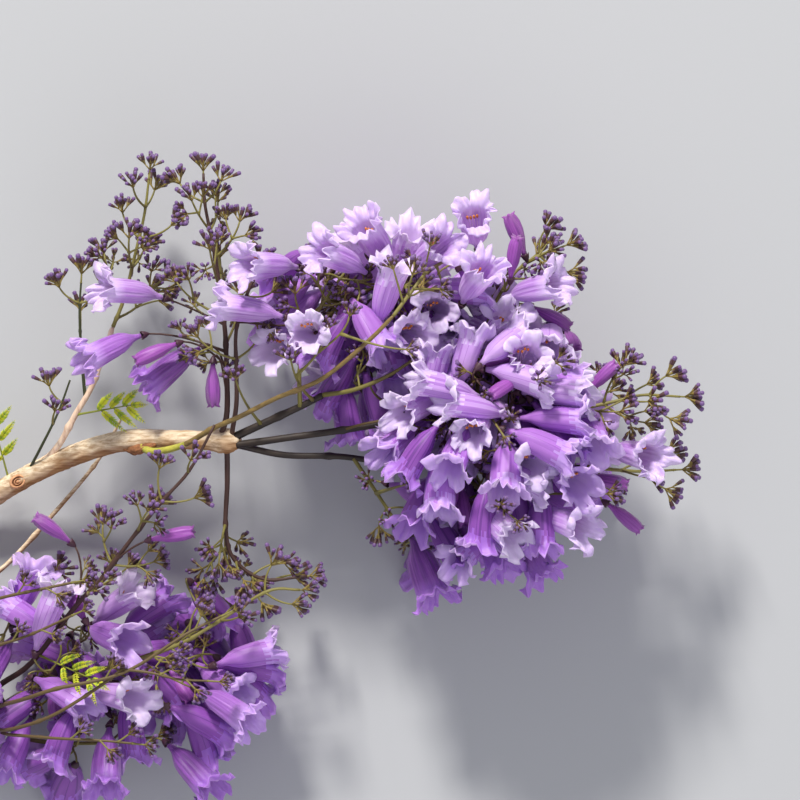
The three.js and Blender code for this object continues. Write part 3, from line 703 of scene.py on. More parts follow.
# %% A panicle
class Panicle:
    """One panicle: its axis, where stalks may leave it, and what it carries."""

    def __init__(self, row):
        self.row = row
        self.name = row["name"]
        self.axis = Spline(row["path"])
        self.taps = [self.at(t) for t in TAPS]
        self.flowers = []
        self.clusters = []

    def at(self, t):
        return on_steps(self.axis, AXIS_STEPS, t)

    def nearest_tap(self, p):
        gaps = [np.linalg.norm(tap - p) for tap in self.taps]
        return self.taps[int(np.argmin(gaps))], min(gaps)

    def hang(self, flower, start):
        heel = heel_of(flower)
        self.flowers.append({**flower, "start": start})
        self.taps.append((start + heel) / 2)
        rods.take(start, heel, TWIG_RADIUS, self.name)
        take_flower(flower, flower["solo"] or self.name)

    def add_bloom(self, foot, mouth, shut=False, solo=None):
        foot, mouth = np.array(foot, float), np.array(mouth, float)
        samples = [i / 20 for i in range(21)]
        nearest = samples[int(np.argmin([np.linalg.norm(self.at(t) - foot) for t in samples]))]
        flower = {"foot": foot, "direction": unit(mouth - foot), "shut": shut, "solo": solo}
        self.hang(flower, self.at(max(0.05, nearest - 0.1)))

    def add_cluster(self, start, direction, lean, length):
        tip = start + direction * length
        arriving = unit(direction * 0.6 + lean * 0.5)
        middle = tip + arriving * 0.5 * BUD_REACH
        if not is_free(twig_balls(start, tip), self.name, 0):
            return
        if not is_free([(middle, CLUSTER_RADIUS)], self.name, KIN):
            return
        self.clusters.append({"start": start, "tip": tip, "direction": arriving, "lean": lean})
        rods.take(start, tip, TWIG_RADIUS, self.name)
        rods.take(tip, middle, CLUSTER_RADIUS, self.name)

    def add_pairs(self, roll):
        pairs = self.row["pairs"]
        for i in range(pairs["count"]):
            share = i / pairs["count"]
            t = pairs["from"] + (LAST_PAIR - pairs["from"]) * share
            tangent = self.axis.tangent(t)
            long, short = pairs["reach"]
            for side in (0, 180):
                turn = math.radians(pairs["roll"] + side + 90 * i + 24 * (roll() - 0.5))
                length = (long + (short - long) * share) * (0.85 + 0.3 * roll())
                angle = math.radians(pairs["spread"] + 16 * (roll() - 0.5))
                self.add_cluster(self.at(t), tilted(tangent, angle, turn), tangent, length)
        tangent = self.axis.tangent(1)
        self.add_cluster(self.at(LAST_PAIR), tangent, tangent, 6)


panicles = [Panicle(row) for row in PANICLES]
print("panicles with pairs of bud twigs:", sum("pairs" in row for row in PANICLES))


# %% [markdown]
# The crowded parts are filled: many places in a rounded space are tried in an even order.
# Each flower looks outwards from the middle, more in the branch's own plane than out of it,
# sags a little, and hangs from the nearest stalk.

# %% Fill a space
def candidates(space, roll, stray=0.9, lift=0.0):
    """Open flowers with their mouths spread evenly in the space, looking outwards, and up by lift."""
    radii, centre = np.array(space["radii"], float), np.array(space["centre"], float)
    for k in range(1, space["tries"] + 1):
        spot = 2 * ((k * EVEN_STEPS) % 1) - 1
        whim = np.array([roll(), roll(), roll()]) - 0.5
        if np.linalg.norm(spot) > 1:
            continue
        direction = unit(unit(spot * SPREAD) + HANG * 0.3 + whim * stray + UP * lift)
        foot = spot * radii + centre - direction * OPEN_LENGTH
        yield {"foot": foot, "direction": direction, "shut": False, "solo": None}


def nearest_panicle(plants, p):
    """The panicle whose stalks come nearest to p, that place, and how far away it is."""
    found = [(plant.nearest_tap(p), plant) for plant in plants]
    (tap, gap), plant = min(found, key=lambda item: item[0][1])
    return plant, tap, gap


def fill(space, plants):
    """Hangs a space's first flowers on the panicles that fill it."""
    opened = 0
    for flower in candidates(space, dice(space["seed"])):
        heel = heel_of(flower)
        plant, tap, gap = nearest_panicle(plants, heel)
        if gap > REACH or gap < SHORTEST_STALK:
            continue
        if not is_free(flower_balls(flower), plant.name, KIN):
            continue
        if not is_free(twig_balls(tap, heel), plant.name, KIN_TWIG):
            continue
        plant.hang(flower, tap)
        opened += 1
        if opened == space["count"]:
            break


print("spaces to fill:", [space["name"] for space in SPACES])

# %% [markdown]
# Everything that the solids hold now grows in the drawing's own order: limbs, leaves and axes first,
# then the blooms with a place of their own, the pairs of bud twigs, and last the filled spaces.

# %% Grow the plan
for limb in LIMBS:
    take_curve(Spline(limb["path"]), limb["steps"], limb["radii"], limb["name"])
for leaf in LEAVES:
    rods.take(np.array(leaf["foot"], float), np.array(leaf["tip"], float), LEAF_HALF_WIDTH, leaf["name"])
for plant in panicles:
    take_curve(plant.axis, AXIS_STEPS, plant.row["radii"], plant.name)
for plant in panicles:
    for bloom in plant.row.get("blooms", []):
        plant.add_bloom(**bloom)
for number, plant in enumerate(panicles, 1):
    if "pairs" in plant.row:
        plant.add_pairs(dice(number))
for space in SPACES:
    fill(space, [plant for plant in panicles if plant.row.get("fills") == space["name"]])

flower_count = sum(len(plant.flowers) for plant in panicles)
cluster_count = sum(len(plant.clusters) for plant in panicles)
print("flowers:", flower_count, "bud clusters:", cluster_count, "rods:", rods.count)

# %% [markdown]
# ## Finer growth
# The real branch is denser than its solids could be: its flowers touch, and its long bud twigs fork.
# So the same spaces are filled once more with a closer spacing, in which soft petals may press on each other.
# Wood keeps its distance. Nothing here reaches further than the solids do, but for the edges of petals.

# %% Closer spacing
SOFT_RADIUS = 3
SOFT_SHARE = 0.56
WOOD_SHARE = 0.8
FLOOR_SHARE = 0.75


def is_squeezed_in(balls, soft_share=SOFT_SHARE):
    """As is_free, but flowers and bud clusters give way to each other."""
    for p, r in balls:
        if p[2] < r * FLOOR_SHARE:
            return False
        radii = rods.r[: rods.count]
        share = np.where(radii > SOFT_RADIUS, soft_share, WOOD_SHARE)
        if np.any(rods.gaps(p) < (r + radii) * share):
            return False
    return True


print("flowers may stand", round(2 * MOUTH_RADIUS * SOFT_SHARE), "mm apart")

# %% [markdown]
# In the lower spray long olive stems cross in front of the flowers, and each carries a few heads of buds.
# Such a stem is a curve like an axis: it rises steeply from the wood behind and then runs level
# above the flowers.

# %% Stems in front of the flowers
HEAD_TWIG = 8
HEAD_SIZE = 0.75
HEAD_ASIDE = 0.9
HEAD_RISE = 0.3
LAST_HEAD = 0.98
FRONT_STEPS = 12
FRONT_STEMS = {
    # name: [radii, where heads stand, path]
    "level_panicle": [
        ([1.5, 0.8], [0.62, 0.74, 0.87], [
            (-246, -188, 20), (-240, -184, 58), (-224, -179, 84), (-206, -173, 96),
            (-165, -163, 102), (-128, -140, 104), (-104, -128, 100),
        ]),
        ([1.3, 0.9], [], [
            (-246, -192, 20), (-242, -199, 50), (-226, -196, 74),
            (-206, -188, 88), (-182, -173, 96), (-166, -161, 102),
        ]),
        ([0.9, 0.6], [0.45, 0.75], [(-168, -161, 101), (-150, -163, 105), (-132, -167, 107), (-114, -168, 107)]),
    ],
    "floor_panicle": [
        ([1.2, 0.7], [0.66, 0.8, 0.9], [
            (-243, -196, 18), (-240, -201, 48), (-225, -202, 72),
            (-205, -203, 86), (-180, -204, 93), (-158, -206, 94),
        ]),
    ],
    "inner_panicle": [
        ([1.3, 0.8], [0.7, 0.85], [
            (-280, -126, 18), (-268, -128, 44), (-252, -124, 66),
            (-240, -119, 80), (-218, -114, 89), (-194, -109, 93),
        ]),
        ([1.2, 0.7], [0.6, 0.8], [
            (-266, -155, 19), (-258, -153, 46), (-240, -147, 77), (-220, -140, 90), (-194, -128, 98),
        ]),
    ],
    "middle_panicle": [
        ([0.9, 0.6], [0.5, 0.75], [(-34, -18, 90), (-20, -14, 102), (0, -11, 109), (17, -12, 112)]),
    ],
}


def add_head(plant, start, tip, way, size):
    """A head of buds at the tip of a straight twig."""
    plant.clusters.append({"start": start, "tip": tip, "direction": way, "lean": way, "size": size})


for plant in panicles:
    plant.stems = []
    for radii, heads, path in FRONT_STEMS.get(plant.name, []):
        curve = Spline(path)
        plant.stems.append((curve, radii))
        take_curve(curve, FRONT_STEPS, radii, plant.name)
        for k, t in enumerate(heads + [LAST_HEAD] * bool(heads)):
            tangent = curve.tangent(t)
            aside = np.cross(UP, tangent) * (HEAD_ASIDE * (-1) ** k if t < LAST_HEAD else 0)
            way = unit(tangent + aside + UP * HEAD_RISE)
            start, tip = curve.at(t), curve.at(t) + way * HEAD_TWIG
            add_head(plant, start, tip, way, HEAD_SIZE)
            rods.take(start, tip + way * 0.5 * BUD_REACH, CLUSTER_RADIUS * HEAD_SIZE, plant.name)
print("stems in front:", sum(len(plant.stems) for plant in panicles))

# %% [markdown]
# Between the flowers stand bare twigs with heads of buds, and they catch the eye because they are dark on pale.
# They get their places first, and the leaf in the lower spray keeps a free view, so that no flower hides them.

# %% Twigs in front of the flowers
FREE_VIEW = 1.3
SIDE_TWIGS = {
    # name: [start, tip, size of the head]
    "front_panicle": [
        ([-92, -8, 104], [-98, 12, 118], 0.8),
        ([-62, 6, 118], [-65, 24, 131], 0.85),
        ([-48, 12, 124], [-43, 42, 136], 0.8),
        ([-34, 23, 128], [-30, 50, 141], 0.8),
        ([-24, 31, 132], [4, 30, 142], 0.75),
    ],
    "top_panicle": [
        ([2, 58, 136], [-4, 78, 142], 0.75),
        ([8, 66, 134], [24, 66, 146], 0.8),
        ([14, 74, 128], [18, 92, 138], 0.75),
    ],
    "middle_panicle": [
        ([62, 8, 108], [93, 22, 146], 0.95),
        ([68, 10, 110], [82, 12, 150], 0.8),
        ([46, 2, 102], [62, -22, 158], 0.8),
    ],
    "low_front_panicle": [
        ([42, -48, 88], [60, -62, 148], 0.85),
        ([46, -52, 92], [70, -72, 146], 0.75),
        ([50, -56, 96], [124, -56, 118], 0.85),
    ],
    "drooping_panicle": [([-14, -56, 66], [4, -50, 128], 0.8), ([-2, -74, 62], [-6, -72, 104], 0.75)],
}
for plant in panicles:
    for start, tip, size in SIDE_TWIGS.get(plant.name, []):
        start, tip = np.array(start, float), np.array(tip, float)
        way = unit(tip - start)
        add_head(plant, start, tip, way, size)
        rods.take(start, tip, TWIG_RADIUS, plant.name)
        rods.take(tip, tip + way * 0.5 * BUD_REACH, CLUSTER_RADIUS * FREE_VIEW, plant.name)
print("side twigs:", sum(len(rows) for rows in SIDE_TWIGS.values()))

# %% [markdown]
# Then the crowd gets its places. Its directions stray more than the solids' do and lift a little,
# its stalks are shorter, and every sixth of its flowers is still shut.

# %% More flowers
LEAF_VIEW = 40
hidden_leaf = next(leaf for leaf in LEAVES if leaf["name"] == "leaf_lower")
leaf_middle = (np.array(hidden_leaf["foot"], float) + np.array(hidden_leaf["tip"], float)) / 2
rods.take(leaf_middle, leaf_middle + UP * LEAF_VIEW, LEAF_HALF_WIDTH, "leaf_lower")

MORE_FLOWERS = {"ridge": 22, "front": 8, "ball": 62, "spray": 30}
WHIM = 1.5
LIFT = 0.35
SHUT_EVERY = 6
SECOND_DICE = 40
LONGEST_STALK = 48
STALK_SHARE = 0.1


def crowd(space, plants, wanted):
    """Fills a space again between the flowers that it has."""
    added = 0
    for flower in candidates(space, dice(space["seed"] + SECOND_DICE), WHIM, LIFT):
        flower["shut"] = added % SHUT_EVERY == SHUT_EVERY - 1
        heel = heel_of(flower)
        plant, tap, gap = nearest_panicle(plants, heel)
        if gap > LONGEST_STALK or gap < SHORTEST_STALK:
            continue
        if is_squeezed_in(flower_balls(flower)) and is_squeezed_in(twig_balls(tap, heel), STALK_SHARE):
            plant.hang(flower, tap)
            added += 1
        if added == wanted:
            break
    return added


for space in SPACES:
    fillers = [plant for plant in panicles if plant.row.get("fills") == space["name"]]
    print(space["name"], "takes", crowd(space, fillers, MORE_FLOWERS[space["name"]]), "more flowers")

# %% [markdown]
# The lowest flowers hang straight down and touch the floor. They come in bunches that splay,
# ring by ring, as far as that stays under the flowers above them.

# %% Bunches at the floor
# rings of a bunch: (flowers, millimetres to the side, millimetres higher, splay)
BUNCH_RINGS = ((3, 9, 6, 0.45), (6, 20, 14, 0.6), (8, 31, 24, 0.7))
BUNCH_TURN = 0.4
BUNCH_SHARE = 0.42
STRAIGHT_DOWN = -0.8
UNDER = 0.75


def is_under(space, flower):
    """Whether a flower is well inside a space's outline, seen from above."""
    for t in (0, 1):
        away = (flower_point(flower, t)[:2] - np.array(space["centre"][:2])) / np.array(space["radii"][:2])
        if away.dot(away) > UNDER:
            return False
    return True


spaces = {space["name"]: space for space in SPACES}
bunched = 0
for plant in panicles:
    for flower in [flower for flower in plant.flowers if flower["direction"][2] < STRAIGHT_DOWN]:
        rings = [(k, *ring) for ring in BUNCH_RINGS for k in range(ring[0])]
        for k, flowers, out, higher, splay in rings:
            turn = BUNCH_TURN + math.tau * k / flowers
            aside = np.array([math.cos(turn), math.sin(turn), 0])
            foot = flower["foot"] + aside * out + UP * higher
            direction = unit(flower["direction"] + aside * splay)
            hanging = {"foot": foot, "direction": direction, "shut": False, "solo": None}
            if not is_under(spaces[plant.row["fills"]], hanging):
                continue
            if is_squeezed_in(flower_balls(hanging), BUNCH_SHARE):
                plant.hang(hanging, flower["start"])
                bunched += 1
print("flowers added to bunches:", bunched)

# %% [markdown]
# A long bud twig of this tree forks in two halfway, and small sprays of buds stand beside the flowers' stalks.

# %% More bud clusters
FORK_LENGTH = 23
FORK_AT = 0.55
FORK_ANGLE = 48
FORK_SHARE = 0.42
FORK_SIZE = 0.85
SPRAY_ANGLE = 55
SPRAY_SIZE = 0.72
SPRAY_TWIG = (6, 11)
SPRAY_STALK = 8
SMALL_SHARE = 0.62


def add_small_cluster(plant, start, direction, length, size):
    """A bud cluster on a short twig, where soft things leave room for it."""
    tip = start + direction * length
    middle = tip + direction * 0.5 * BUD_REACH * size
    if not is_squeezed_in([(middle, CLUSTER_RADIUS * size)], SMALL_SHARE):
        return 0
    add_head(plant, start, tip, direction, size)
    rods.take(tip, middle, CLUSTER_RADIUS * size, plant.name)
    return 1


roll = dice(77)
forks = sprays = 0
for plant in panicles:
    for cluster in list(plant.clusters):
        twig = cluster["tip"] - cluster["start"]
        length = np.linalg.norm(twig)
        if length > FORK_LENGTH and "size" not in cluster:
            turn = 360 * roll()
            for hand in (0, 180):
                way = tilted(unit(twig), math.radians(FORK_ANGLE), math.radians(turn + hand))
                start = cluster["start"] + twig * FORK_AT
                forks += add_small_cluster(plant, start, way, length * FORK_SHARE, FORK_SIZE)
    for flower in list(plant.flowers):
        stalk = heel_of(flower) - flower["start"]
        if np.linalg.norm(stalk) > SPRAY_STALK:
            way = tilted(unit(stalk), math.radians(SPRAY_ANGLE), math.radians(360 * roll()))
            start = flower["start"] + stalk * 0.5
            length = SPRAY_TWIG[0] + (SPRAY_TWIG[1] - SPRAY_TWIG[0]) * roll()
            sprays += add_small_cluster(plant, start, way, length, SPRAY_SIZE)
print("forks:", forks, "sprays beside flowers:", sprays)

# %% [markdown]
# ## From millimetres to pieces
# Every piece is modelled in the table's millimetres. One helper then scales it, moves it into the part's frame,
# lifts what would sink into the floor, shades it smooth, and hides the solids that it stands for.

# %% Make a piece
FLOOR_GAP = 0.25


def make_piece(name, shape, materials, nodes=()):
    """Turns a bmesh in millimetres into a piece of the branch and frees the bmesh."""
    for vert in shape.verts:
        vert.co.x += CENTRE[0]
        vert.co.y += CENTRE[1]
        vert.co.z = max(vert.co.z, FLOOR_GAP)
    bmesh.ops.scale(shape, vec=(MM, MM, MM), verts=shape.verts)
    for face in shape.faces:
        face.smooth = True
    mesh = bpy.data.meshes.new(name)
    shape.to_mesh(mesh)
    shape.free()
    for material in materials:
        mesh.materials.append(material)
    piece = bpy.data.objects.new(name, mesh)
    bpy.context.scene.collection.objects.link(piece)
    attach(piece, "root")
    if nodes:
        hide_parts(*nodes)
    return piece


print("pieces keep", FLOOR_GAP, "mm off the floor")

# %% [markdown]
# A tube is drawn as a circle that is extruded from place to place along a path.
# Each place is a matrix whose Z axis runs along the path and whose X axis turns as little as it can,
# so the sides of the tube don't twist. A relief function may push each point in or out.

# %% Tubes
def placed(x, y, z, p):
    """The matrix that has its axes along x, y and z and its origin at p."""
    return Matrix([[x[i], y[i], z[i], p[i]] for i in range(3)] + [[0, 0, 0, 1]])


def scaled(size):
    return Matrix.Diagonal((size, size, size, 1))


def places_along(points):
    """A 4 by 4 matrix for each point of a path."""
    tangents = np.gradient(np.array(points), axis=0)
    side = across(unit(tangents[0]))
    places = []
    for p, tangent in zip(points, tangents):
        d = unit(tangent)
        side = unit(side - d * side.dot(d))
        places.append(placed(side, np.cross(d, side), d, p))
    return places


def grow_tube(shape, points, radii, sides, relief=None):
    """Extrudes a closed tube along points; relief(ring, angle) gives a share of the radius to add."""
    rings = [p @ Matrix.Diagonal((r, r, 1, 1)) for p, r in zip(places_along(points), radii)]
    made = bmesh.ops.create_circle(shape, cap_ends=True, segments=sides, radius=1, matrix=rings[0])
    verts = made["verts"]
    edges = list({edge for vert in verts for edge in vert.link_edges})
    last = rings[0]
    tube = [verts]
    for ring in rings[1:]:
        grown = bmesh.ops.extrude_edge_only(shape, edges=edges)["geom"]
        verts = [part for part in grown if isinstance(part, bmesh.types.BMVert)]
        edges = [part for part in grown if isinstance(part, bmesh.types.BMEdge) and part.is_boundary]
        bmesh.ops.transform(shape, matrix=ring @ last.inverted(), verts=verts)
        last = ring
        tube.append(verts)
    bmesh.ops.contextual_create(shape, geom=edges)
    if relief:
        for k, (verts, ring) in enumerate(zip(tube, rings)):
            back = ring.inverted()
            for vert in verts:
                flat = back @ vert.co
                push = 1 + relief(k, math.atan2(flat.y, flat.x))
                vert.co = ring @ Vector((flat.x * push, flat.y * push, flat.z))
    return tube


trial = bmesh.new()
grow_tube(trial, [np.array([0.0, 0.0, z]) for z in (0.0, 1.0, 2.0)], [1, 1, 1], 6)
print("a trial tube has", len(trial.faces), "faces")
trial.free()

# %% [markdown]
# ## Bark and stems
# The bough is old wood with pale, weathered bark: shallow ribs along it, small warts, and dark cracks.
# The relief is real geometry on the tube. A noise that is stretched along the bough colours it
# and adds the grain that is too fine for the mesh.

# %% Colours and grained materials
# the sockets of a Mix node that hold colours
FIRST_COLOUR = 6
SECOND_COLOUR = 7
MIXED_COLOUR = 2


def linear(colour):
    """An sRGB colour from 0 to 1 as the linear colour that a shader takes."""
    return [c / 12.92 if c <= 0.04045 else ((c + 0.055) / 1.055) ** 2.4 for c in colour] + [1]


def set_ramp(ramp, low, high):
    """Gives a ramp its two ends, each as [place, colour]."""
    for element, (place, colour) in zip(ramp.color_ramp.elements, (low, high)):
        element.position, element.color = place, linear(colour)


def grained(name, dark, light, stretch, relief, roughness, turn=0.0, crack=None, shade=None):
    """Colour that wanders from dark to light along a stretched noise, with the same noise as bump.

    A crack colour makes thin dark lines along one height of the noise. A shade colour paints shade
    on the wood, darkening it as far as the mesh's own "shade" values say.
    """
    material, nodes, links, shader = new_material(name)
    set_inputs(shader, {"Roughness": roughness})
    spot, mapping = nodes.new("ShaderNodeTexCoord"), nodes.new("ShaderNodeMapping")
    set_inputs(mapping, {"Rotation": (0, 0, turn), "Scale": stretch})
    grain, ramp = nodes.new("ShaderNodeTexNoise"), nodes.new("ShaderNodeValToRGB")
    set_inputs(grain, {"Scale": 1, "Detail": 6, "Roughness": 0.65})
    set_ramp(ramp, (0.22, dark), (0.62, light))
    if crack:
        ramp.color_ramp.elements[0].position = 0.34
        for place, colour in ((0.32, crack), (0.3, dark)):
            ramp.color_ramp.elements.new(place).color = linear(colour)
    bump = nodes.new("ShaderNodeBump")
    set_inputs(bump, {"Strength": 0.7, "Distance": relief * MM})
    wire(
        links,
        (spot, "Object", mapping, "Vector"),
        (mapping, "Vector", grain, "Vector"),
        (grain, "Fac", ramp, "Fac"),
        (ramp, "Color", shader, "Base Color"),
        (grain, "Fac", bump, "Height"),
        (bump, "Normal", shader, "Normal"),
    )
    if shade:
        share, mix = nodes.new("ShaderNodeAttribute"), nodes.new("ShaderNodeMix")
        share.attribute_name = "shade"
        mix.data_type, mix.blend_type = "RGBA", "MULTIPLY"
        wire(
            links,
            (share, "Fac", mix, "Factor"),
            (ramp, "Color", mix, FIRST_COLOUR),
            (mix, MIXED_COLOUR, shader, "Base Color"),
        )
        mix.inputs[SECOND_COLOUR].default_value = linear(shade)
    return material


BOUGH_TURN = math.radians(-18)
# painted shade: a brown multiplied into the bark on the side away from the sun, as the mesh's shade values say
turn_cracks_and_painted_shade = {"turn": BOUGH_TURN, "crack": (0.42, 0.29, 0.19), "shade": (0.76, 0.62, 0.46)}
# each has a name, a dark and a light colour, the grain's scale along X, Y and Z, its relief and a roughness
bark = grained("weathered_bark", (0.71, 0.58, 0.43), (0.95, 0.88, 0.76), (34, 560, 420), 0.4, 0.75, **turn_cracks_and_painted_shade)
torn_bark = grained("torn_bark", (0.24, 0.13, 0.08), (0.66, 0.44, 0.28), (220, 420, 420), 0.6, 0.9)
cut_wood = grained("cut_wood", (0.74, 0.57, 0.38), (0.93, 0.81, 0.61), (60, 900, 900), 0.1, 0.7, BOUGH_TURN)
scar_wood = grained("scar_wood", (0.55, 0.31, 0.19), (0.90, 0.68, 0.50), (400, 400, 400), 0.3, 0.85)
shoot_bark = grained("shoot_bark", (0.68, 0.50, 0.40), (0.94, 0.83, 0.72), (420, 60, 420), 0.2, 0.6)
dark_stem = grained("dark_stem", (0.08, 0.05, 0.05), (0.20, 0.15, 0.11), (90, 300, 300), 0.2, 0.55)
green_stem = grained("green_stem", (0.29, 0.22, 0.13), (0.54, 0.45, 0.24), (60, 300, 300), 0.15, 0.5)
green_skin = grained("green_skin", (0.42, 0.44, 0.13), (0.76, 0.74, 0.30), (60, 300, 300), 0.1, 0.45)
print("bark and stem materials:", 8)

# %% [markdown]
# The relief adds three things to the radius: long ribs, small warts, and a swelling where something grew.
# The bough swells most at its end, in the knobby node that all the flowering stems leave from.
# The side that faces away from the sun gets painted shade: each point keeps a value of how far it faces away,
# with patches, and the bark's colour reads it and darkens there.

# %% Draw the limbs
RING_STEP = 1.2
ROUND_RINGS = 5
TIP_ROUNDING = 0.8
WOODY = {
    # name: (material, sides, rib height, wart height, swellings as [place from 0 to 1, height, width])
    "bough": (bark, 44, 0.10, 0.07, [(0.30, 0.12, 0.02), (0.70, 0.13, 0.03), (0.955, 0.34, 0.03)]),
    "lower_limb": (bark, 32, 0.09, 0.07, [(0.28, 0.2, 0.04), (0.85, 0.25, 0.04)]),
    "bare_twig": (bark, 16, 0.08, 0.05, [(0.22, 0.4, 0.01), (0.5, 0.45, 0.012), (0.76, 0.4, 0.012)]),
    "left_shoot": (shoot_bark, 18, 0.05, 0.03, [(0.32, 0.3, 0.02), (0.66, 0.35, 0.02), (0.97, 0.3, 0.02)]),
    "stub_stem": (dark_stem, 18, 0.06, 0.04, [(0.5, 0.2, 0.04), (0.97, 0.3, 0.04)]),
    "middle_stem": (dark_stem, 18, 0.05, 0.03, [(0.33, 0.25, 0.012), (0.66, 0.3, 0.012)]),
    "lower_stem": (dark_stem, 18, 0.05, 0.03, [(0.3, 0.25, 0.012), (0.62, 0.3, 0.012)]),
    "front_stem": (green_stem, 18, 0.04, 0.02, [(0.36, 0.3, 0.012), (0.68, 0.3, 0.012)]),
}


def bark_relief(count, step, rib, wart, swellings, seed):
    """The share of the radius that bark adds at a ring and an angle."""

    def relief(ring, angle):
        round_x, round_y, run = math.cos(angle), math.sin(angle), ring * step
        ribs = noise.noise(Vector((2.2 * round_x, 2.2 * round_y, run / 26 + seed)))
        warts = noise.noise(Vector((4.5 * round_x, 4.5 * round_y, run / 3.2 + 7 * seed)))
        at = ring / count
        swell = sum(h * math.exp(-(((at - place) / width) ** 2)) for place, h, width in swellings)
        lumps = 1 + 0.8 * noise.noise(Vector((1.6 * round_x, 1.6 * round_y, run / 6 + 3 * seed)))
        return rib * ribs + wart * warts + swell * lumps

    return relief


def path_length(path):
    return sum(np.linalg.norm(np.diff(np.array(path, float), axis=0), axis=1))


def tapered(radii, shares):
    foot, tip = radii
    return [foot + (tip - foot) * t for t in shares]


def draw_limb(row, seed):
    """A limb with its bark, rounded at the tip and cut flat at the foot."""
    material, sides, rib, wart, swellings = WOODY[row["name"]]
    count = round(path_length(row["path"]) / RING_STEP)
    shares = [i / count for i in range(count + 1)]
    radii = tapered(row["radii"], shares)
    for i in range(1, ROUND_RINGS):
        radii[-i] *= math.sqrt(1 - ((ROUND_RINGS - i) / ROUND_RINGS) ** 2) * TIP_ROUNDING + 0.1
    shape = bmesh.new()
    relief = bark_relief(count, RING_STEP, rib, wart, swellings, seed)
    grow_tube(shape, Spline(row["path"]).along(shares), radii, sides, relief)
    bmesh.ops.recalc_face_normals(shape, faces=shape.faces)
    shape.normal_update()
    # painted shade: how far each point faces away from the sun, with patches
    shade = shape.verts.layers.float.new("shade")
    for vert in shape.verts:
        vert[shade] = min(1, max(0, 0.3 - 0.9 * vert.normal.y + 0.6 * noise.noise(0.09 * vert.co)))
    for face in shape.faces:
        face.material_index = int(len(face.verts) == sides)
    return make_piece(row["name"] + "_relief", shape, [material, cut_wood], [row["name"]])


for seed, row in enumerate(LIMBS, 1):
    piece = draw_limb(row, seed)
    print(piece.name, "faces:", len(piece.data.polygons))

# %% [markdown]
# Near the foot of the bough a side branch once fell off. It left an oval scar of rings, like a rolled bun.
# A profile that rises and falls is spun about its axis, and the disc is set into the bark.
# A ragged collar of bark stands round the foot of each stem that breaks out of old wood,
# and a burr of torn, brown bark hangs under the bough where the front stem leaves it.
# That stem has kept a bright green skin at its foot.

# %% Scar and collars
SCAR_SIZE = (5.2, 4.0)
SCAR_X = -231
SCAR_PROFILE = [
    (0.0, 1.5), (0.14, 1.6), (0.22, 0.7), (0.3, 0.7), (0.38, 1.7), (0.48, 1.6),
    (0.54, 0.6), (0.62, 0.6), (0.7, 2.0), (0.84, 2.1), (0.96, 1.4), (1.06, -1.6),
]
SCAR_TURN = 0.5
SCAR_LUMPS = 0.4
SCAR_HEIGHT = 6.0
GROOVES = ((0.18, 0.34), (0.5, 0.66))
# the stem, and the radius and length of its collar
COLLARS = [("front_stem", 3.0, 9), ("left_shoot", 3.3, 8), ("low_sprig", 2.1, 6), ("lower_limb", 5.6, 12)]
COLLAR_STEPS = 9
BURR = [(-168, -28.5, 57), (-163, -29.5, 59), (-158, -29.5, 62), (-152, -28.5, 65), (-147, -27, 69)]
BURR_STEPS = 17
BURR_RADIUS = 2.8
SHEATH_STEPS = 21
SHEATH_SHARE = 0.27
SHEATH_RADIUS = 2.5


def stand(p, d, turn=0.0, size=1.0):
    """The matrix of a shape whose foot is at p and whose Z axis points along d."""
    side = across(d)
    return placed(side, np.cross(d, side), d, p) @ Matrix.Rotation(turn, 4, "Z") @ scaled(size)


def spin_profile(shape, profile, sides):
    """Spins an outline of [radius, height] about Z, and closes it where it meets the axis."""
    points = [shape.verts.new((r, 0, z)) for r, z in profile]
    edges = [shape.edges.new(pair) for pair in zip(points, points[1:])]
    spun = {"geom": points + edges, "cent": (0, 0, 0), "axis": (0, 0, 1), "angle": math.tau, "steps": sides}
    bmesh.ops.spin(shape, **spun, use_merge=True)
    bmesh.ops.remove_doubles(shape, verts=shape.verts, dist=1e-4)


shape = bmesh.new()
spin_profile(shape, SCAR_PROFILE, 36)
for face in shape.faces:
    middle = face.calc_center_median()
    out = math.hypot(middle.x, middle.y)
    face.material_index = int(any(low < out < high for low, high in GROOVES))
for vert in shape.verts:
    vert.co.z += SCAR_LUMPS * noise.noise(vert.co * 4)
    vert.co.x *= SCAR_SIZE[0]
    vert.co.y *= SCAR_SIZE[1]
scar_at = min((abs(bough_curve.at(t)[0] - SCAR_X), t) for t in np.linspace(0, 1, 400))[1]
scar_place = Matrix.Translation(bough_curve.at(scar_at) + UP * SCAR_HEIGHT) @ Matrix.Rotation(SCAR_TURN, 4, "Z")
bmesh.ops.transform(shape, matrix=scar_place, verts=shape.verts)
bmesh.ops.recalc_face_normals(shape, faces=shape.faces)
make_piece("branch_scar", shape, [scar_wood, torn_bark])

shape = bmesh.new()
paths = {row["name"]: row["path"] for row in LIMBS + PANICLES}
shares = np.linspace(0, 1, COLLAR_STEPS)
for seed, (name, radius, length) in enumerate(COLLARS):
    points = Spline(paths[name]).along(length / path_length(paths[name]) * shares)
    radii = [radius * (1 - 0.45 * t**0.6) for t in shares]
    relief = bark_relief(COLLAR_STEPS, length / COLLAR_STEPS, 0.3, 0.35, [], seed + 11)
    grow_tube(shape, points, radii, 20, relief)
shares = np.linspace(0, 1, BURR_STEPS)
radii = [BURR_RADIUS * math.sin(math.pi * (0.1 + 0.8 * t)) for t in shares]
grow_tube(shape, Spline(BURR).along(shares), radii, 24, bark_relief(BURR_STEPS, 1.5, 0.35, 0.6, [], 31))
bmesh.ops.recalc_face_normals(shape, faces=shape.faces)
collars = make_piece("bark_collars", shape, [torn_bark])

